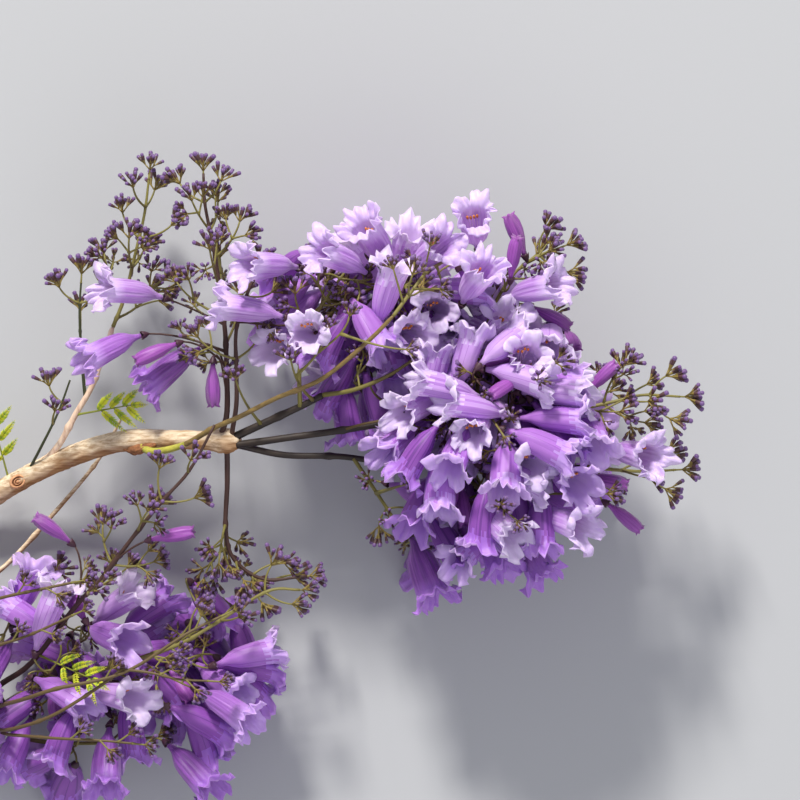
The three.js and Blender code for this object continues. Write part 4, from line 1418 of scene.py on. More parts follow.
shape = bmesh.new()
points = Spline(paths["front_stem"]).along(SHEATH_SHARE * np.linspace(0, 1, SHEATH_STEPS))
radii = [SHEATH_RADIUS - 0.75 * t**1.5 for t in np.linspace(0, 1, SHEATH_STEPS - 1)] + [1.2]
grow_tube(shape, points, radii, 18, bark_relief(SHEATH_STEPS, 1.5, 0.08, 0.05, [], 41))
bmesh.ops.recalc_face_normals(shape, faces=shape.faces)
make_piece("green_sheath", shape, [green_skin])
print("collars:", len(COLLARS), "faces:", len(collars.data.polygons))

# %% [markdown]
# ## Twigs
# A panicle's axis tapers from its foot to its tip and is thicker at each pair of twigs.
# The twigs are bowed: they leave at a wide angle and bend towards the light, and a flower's stalk
# arrives in line with its flower. A twig starts on the nearest twig that is drawn already,
# so nothing hangs in the air.

# %% Bowed paths
def bowed(start, tip, leaving, arriving, steps=7):
    """Points of a smooth bow with its own direction at each end."""
    reach = np.linalg.norm(tip - start) / 3
    near, far = start + leaving * reach, tip - arriving * reach
    ways = []
    for t in np.linspace(0, 1, steps + 1):
        ways.append(start * (1 - t) ** 3 + near * 3 * t * (1 - t) ** 2 + far * 3 * t * t * (1 - t) + tip * t**3)
    return ways


def taper(root, tip, steps=7, knuckle=1.45):
    """Radii of a twig with a knuckle at its root."""
    radii = [root + (tip - root) * i / steps for i in range(steps + 1)]
    radii[0] *= knuckle
    return radii


print("radii of a twig:", [round(r, 2) for r in taper(0.8, 0.5)])

# %% [markdown]
# Four regions of the branch are drawn one after another, each kind of thing joined into one piece.
# Twigs in the light are olive green. The older ones, and those behind the flowers, are a purplish brown.

# %% Regions and twig materials
REGIONS = {
    "left": ["left_panicle", "left_sprig", "low_sprig", "upright_panicle", "second_upright"],
    "ridge": ["ridge_panicle", "top_panicle", "front_panicle"],
    "ball": [
        "high_panicle", "middle_panicle", "right_panicle", "low_right_panicle",
        "drooping_panicle", "low_front_panicle", "back_right_panicle",
    ],
    "spray": ["hanging_panicle", "rising_panicle", "level_panicle", "floor_panicle", "inner_panicle"],
}
BROWN_AXES = ["upright_panicle", "second_upright", "rising_panicle", "hanging_panicle", "middle_panicle"]
DARK_AXES = ["low_sprig", "left_sprig"]
by_name = {plant.name: plant for plant in panicles}


def plain(name, colour, roughness, sheen=0.0, subsurface=0.0, depth=1.0):
    """A principled material of one colour, for small things that are shaded by their shape."""
    material, _, _, shader = new_material(name)
    set_inputs(shader, {"Base Color": linear(colour), "Roughness": roughness, "Sheen Weight": sheen})
    set_inputs(shader, {"Subsurface Weight": subsurface, "Subsurface Scale": depth * MM})
    set_inputs(shader, {"Subsurface Radius": (1.0, 0.75, 1.0)})
    material.diffuse_color = linear(colour)
    return material


twig_green = plain("twig_green", (0.50, 0.47, 0.23), 0.55)
twig_brown = plain("twig_brown", (0.28, 0.18, 0.15), 0.6)
twig_dark = plain("twig_dark", (0.21, 0.23, 0.11), 0.5)
twig_olive = plain("twig_olive", (0.38, 0.31, 0.17), 0.55)
twig_kinds = [twig_green, twig_brown, twig_dark, twig_olive]
print("regions:", {name: len(names) for name, names in REGIONS.items()})


# %% Draw the twigs
AXIS_RINGS = 40
FRONT_RINGS = 48
STALK_RADIUS = 0.62
BUD_TWIG_TIP = 0.56


class Drawn:
    """The middle lines of what a panicle has drawn so far, for the next twig to start on."""

    def __init__(self, points):
        self.points = np.array(points)

    def nearest(self, p):
        return self.points[int(np.argmin(np.linalg.norm(self.points - p, axis=1)))]

    def add(self, points):
        self.points = np.vstack([self.points, points])


def paint(shape, before, index):
    """Gives every face since `before` the material of that index."""
    shape.faces.ensure_lookup_table()
    for face in shape.faces[before:]:
        face.material_index = index


limb_lines = {row["name"]: Spline(row["path"]).along(np.linspace(0.05, 1, 120)) for row in LIMBS}


def draw_axis(shape, plant):
    """A panicle's axis, thicker at each pair of twigs."""
    row = plant.row
    knots = []
    if "pairs" in row:
        first, count = row["pairs"]["from"], row["pairs"]["count"]
        knots = [first + (LAST_PAIR - first) * i / count for i in range(count)]
    shares = np.linspace(0, 1, AXIS_RINGS + 1)
    relief = bark_relief(AXIS_RINGS, 3, 0.06, 0.05, [(t, 0.35, 0.012) for t in knots], len(plant.name))
    grow_tube(shape, plant.axis.along(shares), tapered(row["radii"], shares), 10, relief)
    plant.drawn = Drawn(plant.axis.along(np.linspace(0.02, 1, 120)) + limb_lines.get(row["on"], []))


def draw_front_stems(shape, plant):
    """The long stems in front of the flowers, each with two soft knuckles."""
    for seed, (curve, radii) in enumerate(plant.stems):
        shares = np.linspace(0, 1, FRONT_RINGS + 1)
        relief = bark_relief(FRONT_RINGS, 3, 0.06, 0.05, [(0.5, 0.3, 0.012), (0.75, 0.3, 0.012)], seed + 3)
        grow_tube(shape, curve.along(shares), tapered(radii, shares), 9, relief)
        plant.drawn.add(curve.along(np.linspace(0.3, 1, 90)))


def draw_stalks(shape, plant):
    """The stalks of the flowers, each up to its flower's calyx."""
    drawn = plant.drawn
    for flower in plant.flowers:
        heel = heel_of(flower)
        root = drawn.nearest(flower["start"])
        chord = unit(heel - root)
        way = bowed(root, heel, unit(chord - flower["direction"] * 0.3), unit(chord + flower["direction"] * 1.2))
        thick = STALK_RADIUS + 0.006 * np.linalg.norm(heel - root)
        grow_tube(shape, way, taper(thick, STALK_RADIUS), 6)
        drawn.add(way[1:-1])


def draw_bud_twigs(shape, plant):
    """The twigs of the heads of buds."""
    drawn = plant.drawn
    for cluster in plant.clusters:
        root = drawn.nearest(cluster["start"])
        chord = unit(cluster["tip"] - root)
        way = bowed(root, cluster["tip"], unit(chord - cluster["lean"] * 0.35), cluster["direction"])
        thick = STALK_RADIUS + 0.01 * np.linalg.norm(cluster["tip"] - root)
        grow_tube(shape, way, taper(thick, BUD_TWIG_TIP), 6)
        drawn.add(way[1:-1])


for region, names in REGIONS.items():
    shape = bmesh.new()
    for name in names:
        kind = 2 if name in DARK_AXES else int(name in BROWN_AXES)
        for draw, index in ((draw_axis, kind), (draw_front_stems, 3), (draw_stalks, kind), (draw_bud_twigs, 0)):
            before = len(shape.faces)
            draw(shape, by_name[name])
            paint(shape, before, index)
    bmesh.ops.recalc_face_normals(shape, faces=shape.faces)
    twigs = make_piece(region + "_twigs", shape, twig_kinds, names)
    print(twigs.name, "faces:", len(twigs.data.polygons))

# %% [markdown]
# ## Buds
# A bud is a small club: a thin green stalk, a plum-coloured cup, and the violet tip of the folded petals.
# Its outline is spun about its own axis with six sides, so it stays light enough to be repeated.
# A cluster is a loose head of about ten of them on four short arms, and three different heads are enough,
# because each is turned another way.

# %% One bud and one cluster
BUD_PROFILE = [
    (0.4, 0.0), (0.46, 1.8), (0.8, 3.2), (1.14, 5.6),
    (1.02, 5.9), (1.24, 6.6), (1.02, 7.4), (0.0, 7.8),
]
STALK_UNTIL = 2.6
CUP_UNTIL = 5.8
BUD_SIDES = 6
BUD_ARM = 3.4


def finished_mesh(name, shape):
    """A bmesh as a mesh that can be stamped, with its normals outwards."""
    bmesh.ops.recalc_face_normals(shape, faces=shape.faces)
    mesh = bpy.data.meshes.new(name)
    shape.to_mesh(mesh)
    shape.free()
    return mesh


def stamp(shape, mesh, place):
    """Adds a copy of a mesh at a place."""
    copy = mesh.copy()
    copy.transform(place)
    shape.from_mesh(copy)
    bpy.data.meshes.remove(copy)


shape = bmesh.new()
spin_profile(shape, BUD_PROFILE, BUD_SIDES)
for face in shape.faces:
    height = face.calc_center_median().z
    face.material_index = 0 if height < STALK_UNTIL else 1 if height < CUP_UNTIL else 2
bud = finished_mesh("bud", shape)


def bud_head(seed):
    """Four arms, each with two or three buds, and one bud in the middle."""
    roll = dice(seed)
    shape = bmesh.new()
    middle = np.array([0.0, 0.0, 0.0])
    stamp(shape, bud, stand(middle, UP, 0, 1.3))
    for arm in range(4):
        way = tilted(UP, math.radians(32 + 18 * roll()), math.radians(90 * arm + 40 * roll()))
        end = middle + way * BUD_ARM * (0.7 + 0.7 * roll())
        grow_tube(shape, [middle, (middle + end) / 2, end], [0.55, 0.5, 0.46], 5)
        buds = 3 if roll() < 0.4 else 2
        for k in range(buds):
            lean = tilted(way, math.radians(20 + 16 * roll()), math.tau * k / buds + 1.2 * roll())
            stamp(shape, bud, stand(end, unit(lean + UP * 0.3), 0, 0.92 + 0.4 * roll()))
    return finished_mesh("bud_head", shape)


bud_heads = [bud_head(seed) for seed in (4, 9, 15)]
print("faces of a bud:", len(bud.polygons), "and of a head of buds:", len(bud_heads[0].polygons))

# %% [markdown]
# The cup that holds a flower is a short bell with five small teeth, dark as a plum.
# It is stamped under each flower, together with the heads of buds.

# %% Stamp buds and cups
bud_stalk = plain("bud_stalk", (0.53, 0.46, 0.22), 0.55)
bud_cup = plain("bud_cup", (0.32, 0.21, 0.21), 0.5)
bud_tip = plain("bud_tip", (0.43, 0.30, 0.52), 0.45, sheen=0.3)
calyx_skin = plain("calyx_skin", (0.28, 0.16, 0.21), 0.5)

CUP_PROFILE = [
    (0.0, -0.6), (0.7, -0.4), (1.2, 0.5), (2.0, 1.9), (2.45, 3.4),
    (2.75, 4.4), (2.2, 4.3), (1.5, 2.2), (0.0, 1.2),
]
TEETH = 5
TEETH_FROM = 4.2
TOOTH = 0.5
HEAD_SINK = 0.4

shape = bmesh.new()
spin_profile(shape, CUP_PROFILE, 2 * TEETH)
for vert in shape.verts:
    if vert.co.z > TEETH_FROM:
        vert.co.z += TOOTH * math.cos(TEETH * math.atan2(vert.co.y, vert.co.x))
for face in shape.faces:
    face.material_index = 3
cup = finished_mesh("cup", shape)

for region, names in REGIONS.items():
    roll = dice(len(names) + 50)
    shape = bmesh.new()
    heads = 0
    for plant in (by_name[name] for name in names):
        for cluster in plant.clusters:
            size = cluster.get("size", 1.0) * (0.92 + 0.16 * roll())
            foot = cluster["tip"] - cluster["direction"] * HEAD_SINK
            place = stand(foot, cluster["direction"], math.tau * roll(), size)
            stamp(shape, bud_heads[heads % len(bud_heads)], place)
            heads += 1
        for flower in plant.flowers:
            stamp(shape, cup, stand(heel_of(flower), flower["direction"], math.tau * roll()))
    piece = make_piece(region + "_buds", shape, [bud_stalk, bud_cup, bud_tip, calyx_skin], names)
    print(piece.name, "heads:", heads, "faces:", len(piece.data.polygons))

# %% [markdown]
# ## Flowers
# The corolla is one thin sheet: a narrow neck, a belly with long darker veins, and five crumpled lobes.
# Two lobes bend far back over the top and three reach forward below, like lips.
# A row of points is spun about Z, which gives a plain drum of strips and rings.
# Each point of the drum then moves to its own place on the flower. The veins are narrow strips of it,
# so their darker colour is given face by face and stays in place on a mesh that is repeated.

# %% The drum
LOBES = 5
LOBE_DEGREES = 72
STRIP_EDGES = [0, 10.4, 13.6, 24, 34.4, 37.6, 48, 58.4, 61.6]
VEIN_STRIPS = (1, 4, 7)
BELLY_RINGS = [0.05, 0.13, 0.19, 0.26, 0.35, 0.47, 0.6, 0.71, 0.79]
LOBE_RINGS = [0.2, 0.44, 0.66, 0.85, 1.0]
SKIN = 0.3
BELLY, VEIN, LOBE, RIM = range(4)


def drum(rings, edges=STRIP_EDGES):
    """A drum of strips about Z, one unit between rings, with its faces outwards."""
    shape = bmesh.new()
    spin_profile(shape, [(1, k) for k in range(rings)], LOBES * len(edges))
    bmesh.ops.recalc_face_normals(shape, faces=shape.faces)
    shape.faces.ensure_lookup_table()
    middle = shape.faces[0].calc_center_median()
    if shape.faces[0].normal.dot(Vector((middle.x, middle.y, 0))) < 0:
        bmesh.ops.reverse_faces(shape, faces=shape.faces)
    return shape


def drum_place(co, edges=STRIP_EDGES):
    """The ring of a point of the drum, its lobe, and its angle from that lobe's start in degrees."""
    strip = round(math.degrees(math.atan2(co.y, co.x)) / (360 / (LOBES * len(edges))))
    lobe, edge = divmod(strip % (LOBES * len(edges)), len(edges))
    return round(co.z), lobe, edges[edge]


def strip_of(face, places, edges=STRIP_EDGES):
    """The lowest ring of a face of the drum, and which strip of its lobe it is."""
    strips = sorted({edges.index(places[vert][2]) for vert in face.verts})
    last = strips == [0, len(edges) - 1]
    return min(places[vert][0] for vert in face.verts), strips[-1] if last else strips[0]


trial = drum(3)
print("points of a drum with three rings:", len(trial.verts))
trial.free()

# %% [markdown]
# The belly's radius comes from a short table. It is a little flat, has two creases below, and soft pleats.
# The mouth is oblique: its lower side reaches further.
# A lobe is an arc that rolls outwards: its slope grows from the mouth to its edge.
# It is longest in the middle and short at the notches, which rounds it.
# Waves that grow towards its edge crumple it like thin cloth, and no two lobes have the same waves.

# %% The shape of a corolla
# [share of the length, radius in millimetres]
BELLY_RADII = [
    (0.0, 1.7), (0.1, 2.0), (0.17, 3.0), (0.25, 5.4),
    (0.34, 7.4), (0.48, 8.6), (0.62, 9.1), (0.8, 9.5),
]
BELLY_FLATNESS = 0.84
MOUTH_AT = 0.79
MOUTH_SLANT = 0.035
LOBE_LENGTH = 12.2
LOBE_START = -14
FORWARD_LOBES = (0, 1, 4)
FORWARD_CURL = 66
BACK_CURL = 116
CURL_RANGE = 70
NOTCH_SHARE = 0.7
NOTCH_POWER = 3.4
CREASE_AT = 34
CREASE_DEPTH = 0.12
WAVE = 2.3
FRILL = 3.6
BULGE = 0.07


def belly_radius(s):
    return float(np.interp(s, [p[0] for p in BELLY_RADII], [p[1] for p in BELLY_RADII]))


def on_flower_axis(s, length, down, sideways, droop=DROOP):
    """A point beside the flower's own bent axis; X is the way that it sags."""
    centre = Vector((droop * length * s * s, 0, length * s))
    tangent = Vector((2 * droop * s, 0, 1)).normalized()
    return centre + Vector((tangent.z, 0, -tangent.x)) * down + Vector((0, sideways, 0))


def pleats(s, angle, seed):
    """Creases and pleats of the belly, as a factor on its radius."""
    swing = math.radians(angle)
    grown = min(1, max(0, (s - 0.2) * 4))
    depth = 0.0
    for crease in (-CREASE_AT, CREASE_AT):
        gap = (angle - crease + 180) % 360 - 180
        depth += CREASE_DEPTH * math.exp(-((gap / 11) ** 2))
    fine = noise.noise(Vector((5 * math.cos(swing), 5 * math.sin(swing), 1.1 * s + seed)))
    broad = noise.noise(Vector((1.6 * math.cos(swing), 1.6 * math.sin(swing), 1.5 * s + 2 * seed)))
    return 1 + grown * (0.08 * fine + 0.14 * broad + BULGE * math.cos(swing) - depth)


def belly_point(s, angle, length, seed):
    s += MOUTH_SLANT * math.cos(math.radians(angle)) * (s / MOUTH_AT) ** 2
    r = belly_radius(s) * pleats(s, angle, seed)
    swing = math.radians(angle)
    return on_flower_axis(s, length, r * math.cos(swing) * BELLY_FLATNESS, r * math.sin(swing))


def lobe_point(q, lobe, degrees, length, traits, seed, frill):
    """A point at a share q of the way out on a lobe."""
    u = (degrees - LOBE_DEGREES / 2) / (LOBE_DEGREES / 2)
    size, curl, cup, waves, phase = traits[lobe]
    angle = LOBE_DEGREES * lobe - LOBE_DEGREES / 2 + degrees
    swing = math.radians(angle)
    mouth = MOUTH_AT + MOUTH_SLANT * math.cos(swing)
    reach = LOBE_LENGTH * size * (1 - NOTCH_SHARE * abs(u) ** NOTCH_POWER)
    start, end = math.radians(LOBE_START), math.radians(curl)
    slope = start + (end - start) * q
    out = reach / (end - start) * (math.cos(start) - math.cos(slope))
    forward = reach / (end - start) * (math.sin(slope) - math.sin(start))
    fine = noise.noise(Vector((4.2 * math.cos(swing), 4.2 * math.sin(swing), 2.2 * q + 2 * seed)))
    ruffle = WAVE * math.sin(math.pi * waves * u + phase) * (1 - 0.5 * u * u)
    lift = q**1.5 * (ruffle + frill * fine - cup * u * u)
    radius = belly_radius(mouth) * pleats(mouth, angle, seed) + out + lift * math.cos(slope)
    s = mouth + (forward - lift * math.sin(slope)) / length
    flat = BELLY_FLATNESS + (1 - BELLY_FLATNESS) * q
    drift = 0.09 * math.sin(2.2 * phase) * q
    return on_flower_axis(s, length, radius * math.cos(swing + drift) * flat, radius * math.sin(swing + drift))


print("lobes span about", round(2 * (belly_radius(MOUTH_AT) + 0.5 * LOBE_LENGTH)), "mm")


# %% Make a corolla
VEIN_CHANCE = 0.55
LINE_CHANCE = 0.13


def give_skin(shape, thickness, inner_material):
    """A sheet gets an inner wall along its own normals, with a material of its own.

    The solidify operator would keep the thickness even and throw long spikes at sharp folds.
    """
    outer, edges = list(shape.verts), [edge for edge in shape.edges if edge.is_boundary]
    copied = bmesh.ops.duplicate(shape, geom=outer + list(shape.edges) + list(shape.faces))
    twin = copied["vert_map"]
    for vert in outer:
        twin[vert].co = vert.co - vert.normal * thickness
    inner = [part for part in copied["geom"] if isinstance(part, bmesh.types.BMFace)]
    bmesh.ops.reverse_faces(shape, faces=inner)
    for edge in edges:
        a, b = edge.verts
        inner.append(shape.faces.new((a, b, twin[b], twin[a])))
    for face in inner:
        face.material_index = inner_material


def corolla(seed, belly_rings=BELLY_RINGS, lobe_rings=LOBE_RINGS, edges=STRIP_EDGES, frill=FRILL):
    """An open flower with its foot at the origin and its mouth along Z."""
    length = OPEN_LENGTH
    roll = dice(seed)
    traits = []
    for lobe in range(LOBES):
        curl = (FORWARD_CURL if lobe in FORWARD_LOBES else BACK_CURL) + CURL_RANGE * (roll() - 0.5)
        traits.append((0.84 + 0.28 * roll(), curl, 3.4 * roll() - 1.4, 1.8 + 1.8 * roll(), math.tau * roll()))
    chance = [VEIN_CHANCE if strip in VEIN_STRIPS else LINE_CHANCE for strip in range(len(edges))]
    streaks = {(lobe, k) for lobe in range(LOBES) for k in range(len(edges)) if roll() < chance[k]}
    fringe = {(lobe, k) for lobe in range(LOBES) for k in range(len(edges)) if roll() < 0.5}
    shape = drum(len(belly_rings) + len(lobe_rings), edges)
    places = {vert: drum_place(vert.co, edges) for vert in shape.verts}
    for face in shape.faces:
        ring, strip = strip_of(face, places, edges)
        lobe = max(places[vert][1] for vert in face.verts)
        lowest_lobe = len(belly_rings) - 1 - ((lobe, strip) in fringe)
        if ring >= len(belly_rings) + len(lobe_rings) - 2:
            face.material_index = RIM
        elif ring in (len(belly_rings) - 1, len(belly_rings)) and (lobe, strip) in streaks:
            face.material_index = BELLY
        elif ring >= lowest_lobe:
            face.material_index = LOBE
        else:
            face.material_index = VEIN if ring > 1 and (lobe, strip) in streaks else BELLY
    for vert, (ring, lobe, degrees) in places.items():
        if ring < len(belly_rings):
            angle = LOBE_DEGREES * lobe - LOBE_DEGREES / 2 + degrees
            vert.co = belly_point(belly_rings[ring], angle, length, 3.7 * seed)
        else:
            q = lobe_rings[ring - len(belly_rings)]
            vert.co = lobe_point(q, lobe, degrees, length, traits, 3.7 * seed, frill)
    shape.normal_update()
    give_skin(shape, SKIN, RIM)
    return finished_mesh("corolla", shape)


corollas = [corolla(seed) for seed in range(2, 10)]
print("open flowers:", len(corollas), "faces of each:", len(corollas[0].polygons))

# %% [markdown]
# A flower that is still shut is a slim purple tube. Its five lobes are folded in and pucker into a small star.

# %% Make a shut flower
SHUT_RINGS = [(0.0, 1.5), (0.12, 1.8), (0.24, 2.8), (0.4, 4.4), (0.6, 5.2), (0.78, 5.1), (0.9, 4.4), (0.955, 3.6)]
STAR_RINGS = [(1.0, 3.2), (0.965, 1.5), (0.94, 0.0)]
SHUT_DROOP = 0.4 * DROOP


def shut_flower(seed):
    """A closed flower with its foot at the origin and its tip along Z."""
    shape = drum(len(SHUT_RINGS) + len(STAR_RINGS))
    places = {vert: drum_place(vert.co) for vert in shape.verts}
    for face in shape.faces:
        ring, strip = strip_of(face, places)
        if ring >= len(SHUT_RINGS) - 1:
            face.material_index = LOBE
        else:
            face.material_index = VEIN if strip in VEIN_STRIPS else BELLY
    for vert, (ring, lobe, degrees) in places.items():
        swing = math.radians(LOBE_DEGREES * lobe - LOBE_DEGREES / 2 + degrees)
        s, r = (SHUT_RINGS + STAR_RINGS)[ring]
        pleat = math.cos(LOBES * swing)
        if ring >= len(SHUT_RINGS):
            r *= 1 + 0.45 * pleat
            s += 0.015 * pleat
        r *= 1 + 0.12 * pleat * max(0, s - 0.5) / 0.5
        r *= 1 + 0.12 * noise.noise(Vector((2 * math.cos(swing), 2 * math.sin(swing), 3 * s + seed)))
        down, sideways = r * math.cos(swing) * BELLY_FLATNESS, r * math.sin(swing)
        vert.co = on_flower_axis(s, SHUT_LENGTH, down, sideways, SHUT_DROOP)
    bmesh.ops.remove_doubles(shape, verts=shape.verts, dist=1e-3)
    foot = [edge for edge in shape.edges if edge.is_boundary]
    bmesh.ops.contextual_create(shape, geom=foot)
    return finished_mesh("shut_flower", shape)


shut_flowers = [shut_flower(seed) for seed in (1.5, 4.5, 8.5)]
print("shut flowers:", len(shut_flowers), "faces of each:", len(shut_flowers[0].polygons))

# %% [markdown]
# The petals are thin and let light through, so they scatter light under their skin and have a soft sheen.
# Flowers that face the sun are a paler lilac, with painted light. Those that hang below are a deeper violet,
# with painted shade, and shut ones are nearly purple.
# On a mesh that is repeated, one plain colour for each part and each tint keeps its place.

# %% Petal tints
# the pale and deep rows are the middle colours with painted light and painted shade; the shut row is the shut
# flowers' own colour
TINTS_WITH_PAINTED_LIGHT = {
    "pale": ((0.79, 0.59, 0.91), (0.69, 0.46, 0.83), (0.88, 0.75, 0.98), (0.91, 0.80, 0.99)),
    "middle": ((0.69, 0.43, 0.83), (0.59, 0.33, 0.74), (0.79, 0.60, 0.95), (0.83, 0.66, 0.97)),
    "deep": ((0.56, 0.29, 0.69), (0.45, 0.21, 0.58), (0.65, 0.41, 0.84), (0.69, 0.47, 0.88)),
    "shut": ((0.60, 0.31, 0.66), (0.49, 0.22, 0.56), (0.53, 0.27, 0.58), (0.53, 0.27, 0.58)),
}
PARTS = ("belly", "vein", "lobe", "rim")

petals = {}
for tint, colours in TINTS_WITH_PAINTED_LIGHT.items():
    petals[tint] = [
        plain(f"{part}_{tint}", colour, 0.5, sheen=0.12, subsurface=0.45, depth=4.0)
        for part, colour in zip(PARTS, colours)
    ]
print("petal materials:", sum(len(each) for each in petals.values()))

# %% [markdown]
# A crowded flower is one of eight open meshes or three shut ones. Its tint is painted light and shade: it depends
# on where it looks and how high and how near to the sun it stands, with some chance in it. The highest flowers
# are made a little smaller, so that they stay near the solids' top.

# %% Stamp the crowded flowers
# how much painted light a flower gets for looking sunward, for looking up, and for each millimetre up or sunward
SUN_LOOK = 0.55
SKY_LOOK = 0.35
PER_MM_UP = 0.004
PER_MM_SUNWARD = 0.0025
TINT_CHANCE = 0.45
PAINTED_LIGHT_OVER = 0.18
PAINTED_SHADE_UNDER = -0.18
TOP = cad_box[1][2] / MM
LIPS = 8


def flower_stand(flower, size=1.0):
    """The matrix that stands a flower's mesh on its foot, with X the way that it sags."""
    d, sag = flower["direction"], sag_of(flower["direction"])
    return placed(sag, np.cross(d, sag), d, flower["foot"]) @ scaled(size)


def tint_with_painted_light_of(flower, roll):
    """Painted light where a flower looks up or towards the sun or stands high, and painted shade where it hangs
    below.
    """
    if flower["shut"]:
        return "shut"
    mouth = flower_point(flower, 1)
    light = SUN_LOOK * flower["direction"][1] + SKY_LOOK * flower["direction"][2] + PER_MM_UP * (mouth[2] - 90)
    light += PER_MM_SUNWARD * max(mouth[1] + 20, -60) + TINT_CHANCE * (roll() - 0.5)
    return "pale" if light > PAINTED_LIGHT_OVER else "middle" if light > PAINTED_SHADE_UNDER else "deep"


def crowd_of(names):
    """The flowers of these panicles that have no solid of their own."""
    return [flower for name in names for flower in by_name[name].flowers if not flower["solo"]]


def size_of(flower, roll):
    """Sizes vary a little, and the highest flowers are small enough to stay near the solids' top."""
    size = 0.94 + 0.1 * roll()
    height = flower_point(flower, 1)[2] + LIPS - flower["foot"][2]
    return min(size, (TOP - flower["foot"][2]) / height) if height > 0 else size


for region, names in REGIONS.items():
    roll = dice(len(names) + 90)
    crowds = {}
    for flower in crowd_of(names):
        crowds.setdefault(tint_with_painted_light_of(flower, roll), []).append(flower)
    for tint, flowers in crowds.items():
        shape = bmesh.new()
        for k, flower in enumerate(flowers):
            kinds = shut_flowers if flower["shut"] else corollas
            stamp(shape, kinds[k % len(kinds)], flower_stand(flower, size_of(flower, roll)))
        piece = make_piece(f"{region}_flowers_{tint}", shape, petals[tint], names)
        print(piece.name, "flowers:", len(flowers), "faces:", len(piece.data.polygons))

# %% [markdown]
# ## Flowers that stand alone
# The flowers at the edge of the branch are seen one by one, so each is a piece of its own with a finer mesh.
# Their petals have streaks that run from the neck to the lobes and fine wrinkles across them.
# Both come from a noise that is read at each point's own place on the flower: its angle and its share
# of the length. That place is kept with the mesh, so the streaks follow the flower wherever it turns.

# %% Streaked petals
FINE_BELLY = [0.05, 0.09, 0.13, 0.16, 0.19, 0.225, 0.26, 0.3, 0.35, 0.41, 0.47, 0.535, 0.6, 0.65, 0.7, 0.75, 0.79]
FINE_LOBES = [0.1, 0.2, 0.32, 0.44, 0.55, 0.66, 0.76, 0.85, 0.93, 1.0]
FINE_EDGES = [4.5 * k for k in range(16)]
FINE_FRILL = 4.6
PLACE_LAYER = "place_on_flower"


def streaked(name, belly, vein, lobe, streak_scale=(5.5, 5.5, 1.0)):
    """Petal skin with streaks along the flower, paler on the lobes."""
    material = plain(name, belly, 0.48, sheen=0.25, subsurface=0.45, depth=4.0)
    nodes, links = material.node_tree.nodes, material.node_tree.links
    shader = nodes["Principled BSDF"]
    place, stretch = nodes.new("ShaderNodeAttribute"), nodes.new("ShaderNodeMapping")
    place.attribute_name = PLACE_LAYER
    set_inputs(stretch, {"Scale": streak_scale})
    lines, ramp = nodes.new("ShaderNodeTexNoise"), nodes.new("ShaderNodeValToRGB")
    set_inputs(lines, {"Scale": 1, "Detail": 3})
    set_ramp(ramp, (0.4, vein), (0.56, belly))
    split, fade = nodes.new("ShaderNodeSeparateXYZ"), nodes.new("ShaderNodeMapRange")
    set_inputs(fade, {"From Min": 0.66, "From Max": 0.88})
    blend = nodes.new("ShaderNodeMix")
    blend.data_type = "RGBA"
    blend.inputs[SECOND_COLOUR].default_value = linear(lobe)
    crinkle, bump = nodes.new("ShaderNodeTexNoise"), nodes.new("ShaderNodeBump")
    set_inputs(crinkle, {"Scale": 13, "Detail": 3})
    set_inputs(bump, {"Strength": 0.5, "Distance": 0.5 * MM})
    wire(
        links,
        (place, "Vector", stretch, "Vector"),
        (stretch, "Vector", lines, "Vector"),
        (lines, "Fac", ramp, "Fac"),
        (place, "Vector", split, "Vector"),
        (split, "Z", fade, "Value"),
        (fade, "Result", blend, "Factor"),
        (ramp, "Color", blend, FIRST_COLOUR),
        (blend, MIXED_COLOUR, shader, "Base Color"),
        (place, "Vector", crinkle, "Vector"),
        (crinkle, "Fac", bump, "Height"),
        (bump, "Normal", shader, "Normal"),
    )
    return material


streaked_petals = {tint: streaked(f"streaked_{tint}", *colours[:3]) for tint, colours in TINTS_WITH_PAINTED_LIGHT.items()}
filament = plain("filament", (0.93, 0.86, 0.90), 0.5)
anther = plain("anther", (0.84, 0.52, 0.22), 0.6)
print("streaked materials:", list(streaked_petals))

# %% [markdown]
# Four stamens lie side by side along the upper side of the belly, each with an orange-brown anther.
# They are short tubes, and the anthers are small balls pulled long.

# %% Stamens and single flowers
STAMENS = 4
STAMEN_GAP = 2.0
STAMEN_FROM = 0.16
FILAMENT_RADIUS = 0.32
ANTHER_SIZE = (0.85, 0.85, 1.6, 1)


def add_stamens(shape, seed):
    """Stamens in a flower at the origin, under the upper side of its belly."""
    roll = dice(seed)
    for k in range(STAMENS):
        aside = (k - (STAMENS - 1) / 2) * STAMEN_GAP
        end = 0.66 + 0.05 * roll()
        up = -3.0 - 1.5 * roll()
        shares = np.linspace(STAMEN_FROM, end, 7)
        line = [on_flower_axis(s, OPEN_LENGTH, up * s / end, aside * s / end) for s in shares]
        before = len(shape.faces)
        grow_tube(shape, [np.array(p) for p in line], [FILAMENT_RADIUS] * len(line), 6)
        paint(shape, before, 1)
        before = len(shape.faces)
        long_ball = Matrix.Translation(line[-1]) @ Matrix.Diagonal(ANTHER_SIZE)
        bmesh.ops.create_icosphere(shape, subdivisions=2, radius=1, matrix=long_ball)
        paint(shape, before, 2)


def single_flower(flower, seed):
    """A flower's own piece, in millimetres at its place."""
    if flower["shut"]:
        mesh, length, droop = shut_flower(seed), SHUT_LENGTH, SHUT_DROOP
    else:
        mesh, length, droop = corolla(seed, FINE_BELLY, FINE_LOBES, FINE_EDGES, FINE_FRILL), OPEN_LENGTH, DROOP
    shape = bmesh.new()
    shape.from_mesh(mesh)
    for face in shape.faces:
        face.material_index = 0
    layer = shape.verts.layers.float_vector.new(PLACE_LAYER)
    for vert in shape.verts:
        swing = math.atan2(vert.co.y, vert.co.x - droop * length * (vert.co.z / length) ** 2)
        reach = vert.co.z / length + 0.02 * max(0, math.hypot(vert.co.x, vert.co.y) - 9)
        vert[layer] = Vector((math.cos(swing), math.sin(swing), reach))
    if not flower["shut"]:
        add_stamens(shape, seed)
    bmesh.ops.transform(shape, matrix=flower_stand(flower), verts=shape.verts)
    return shape


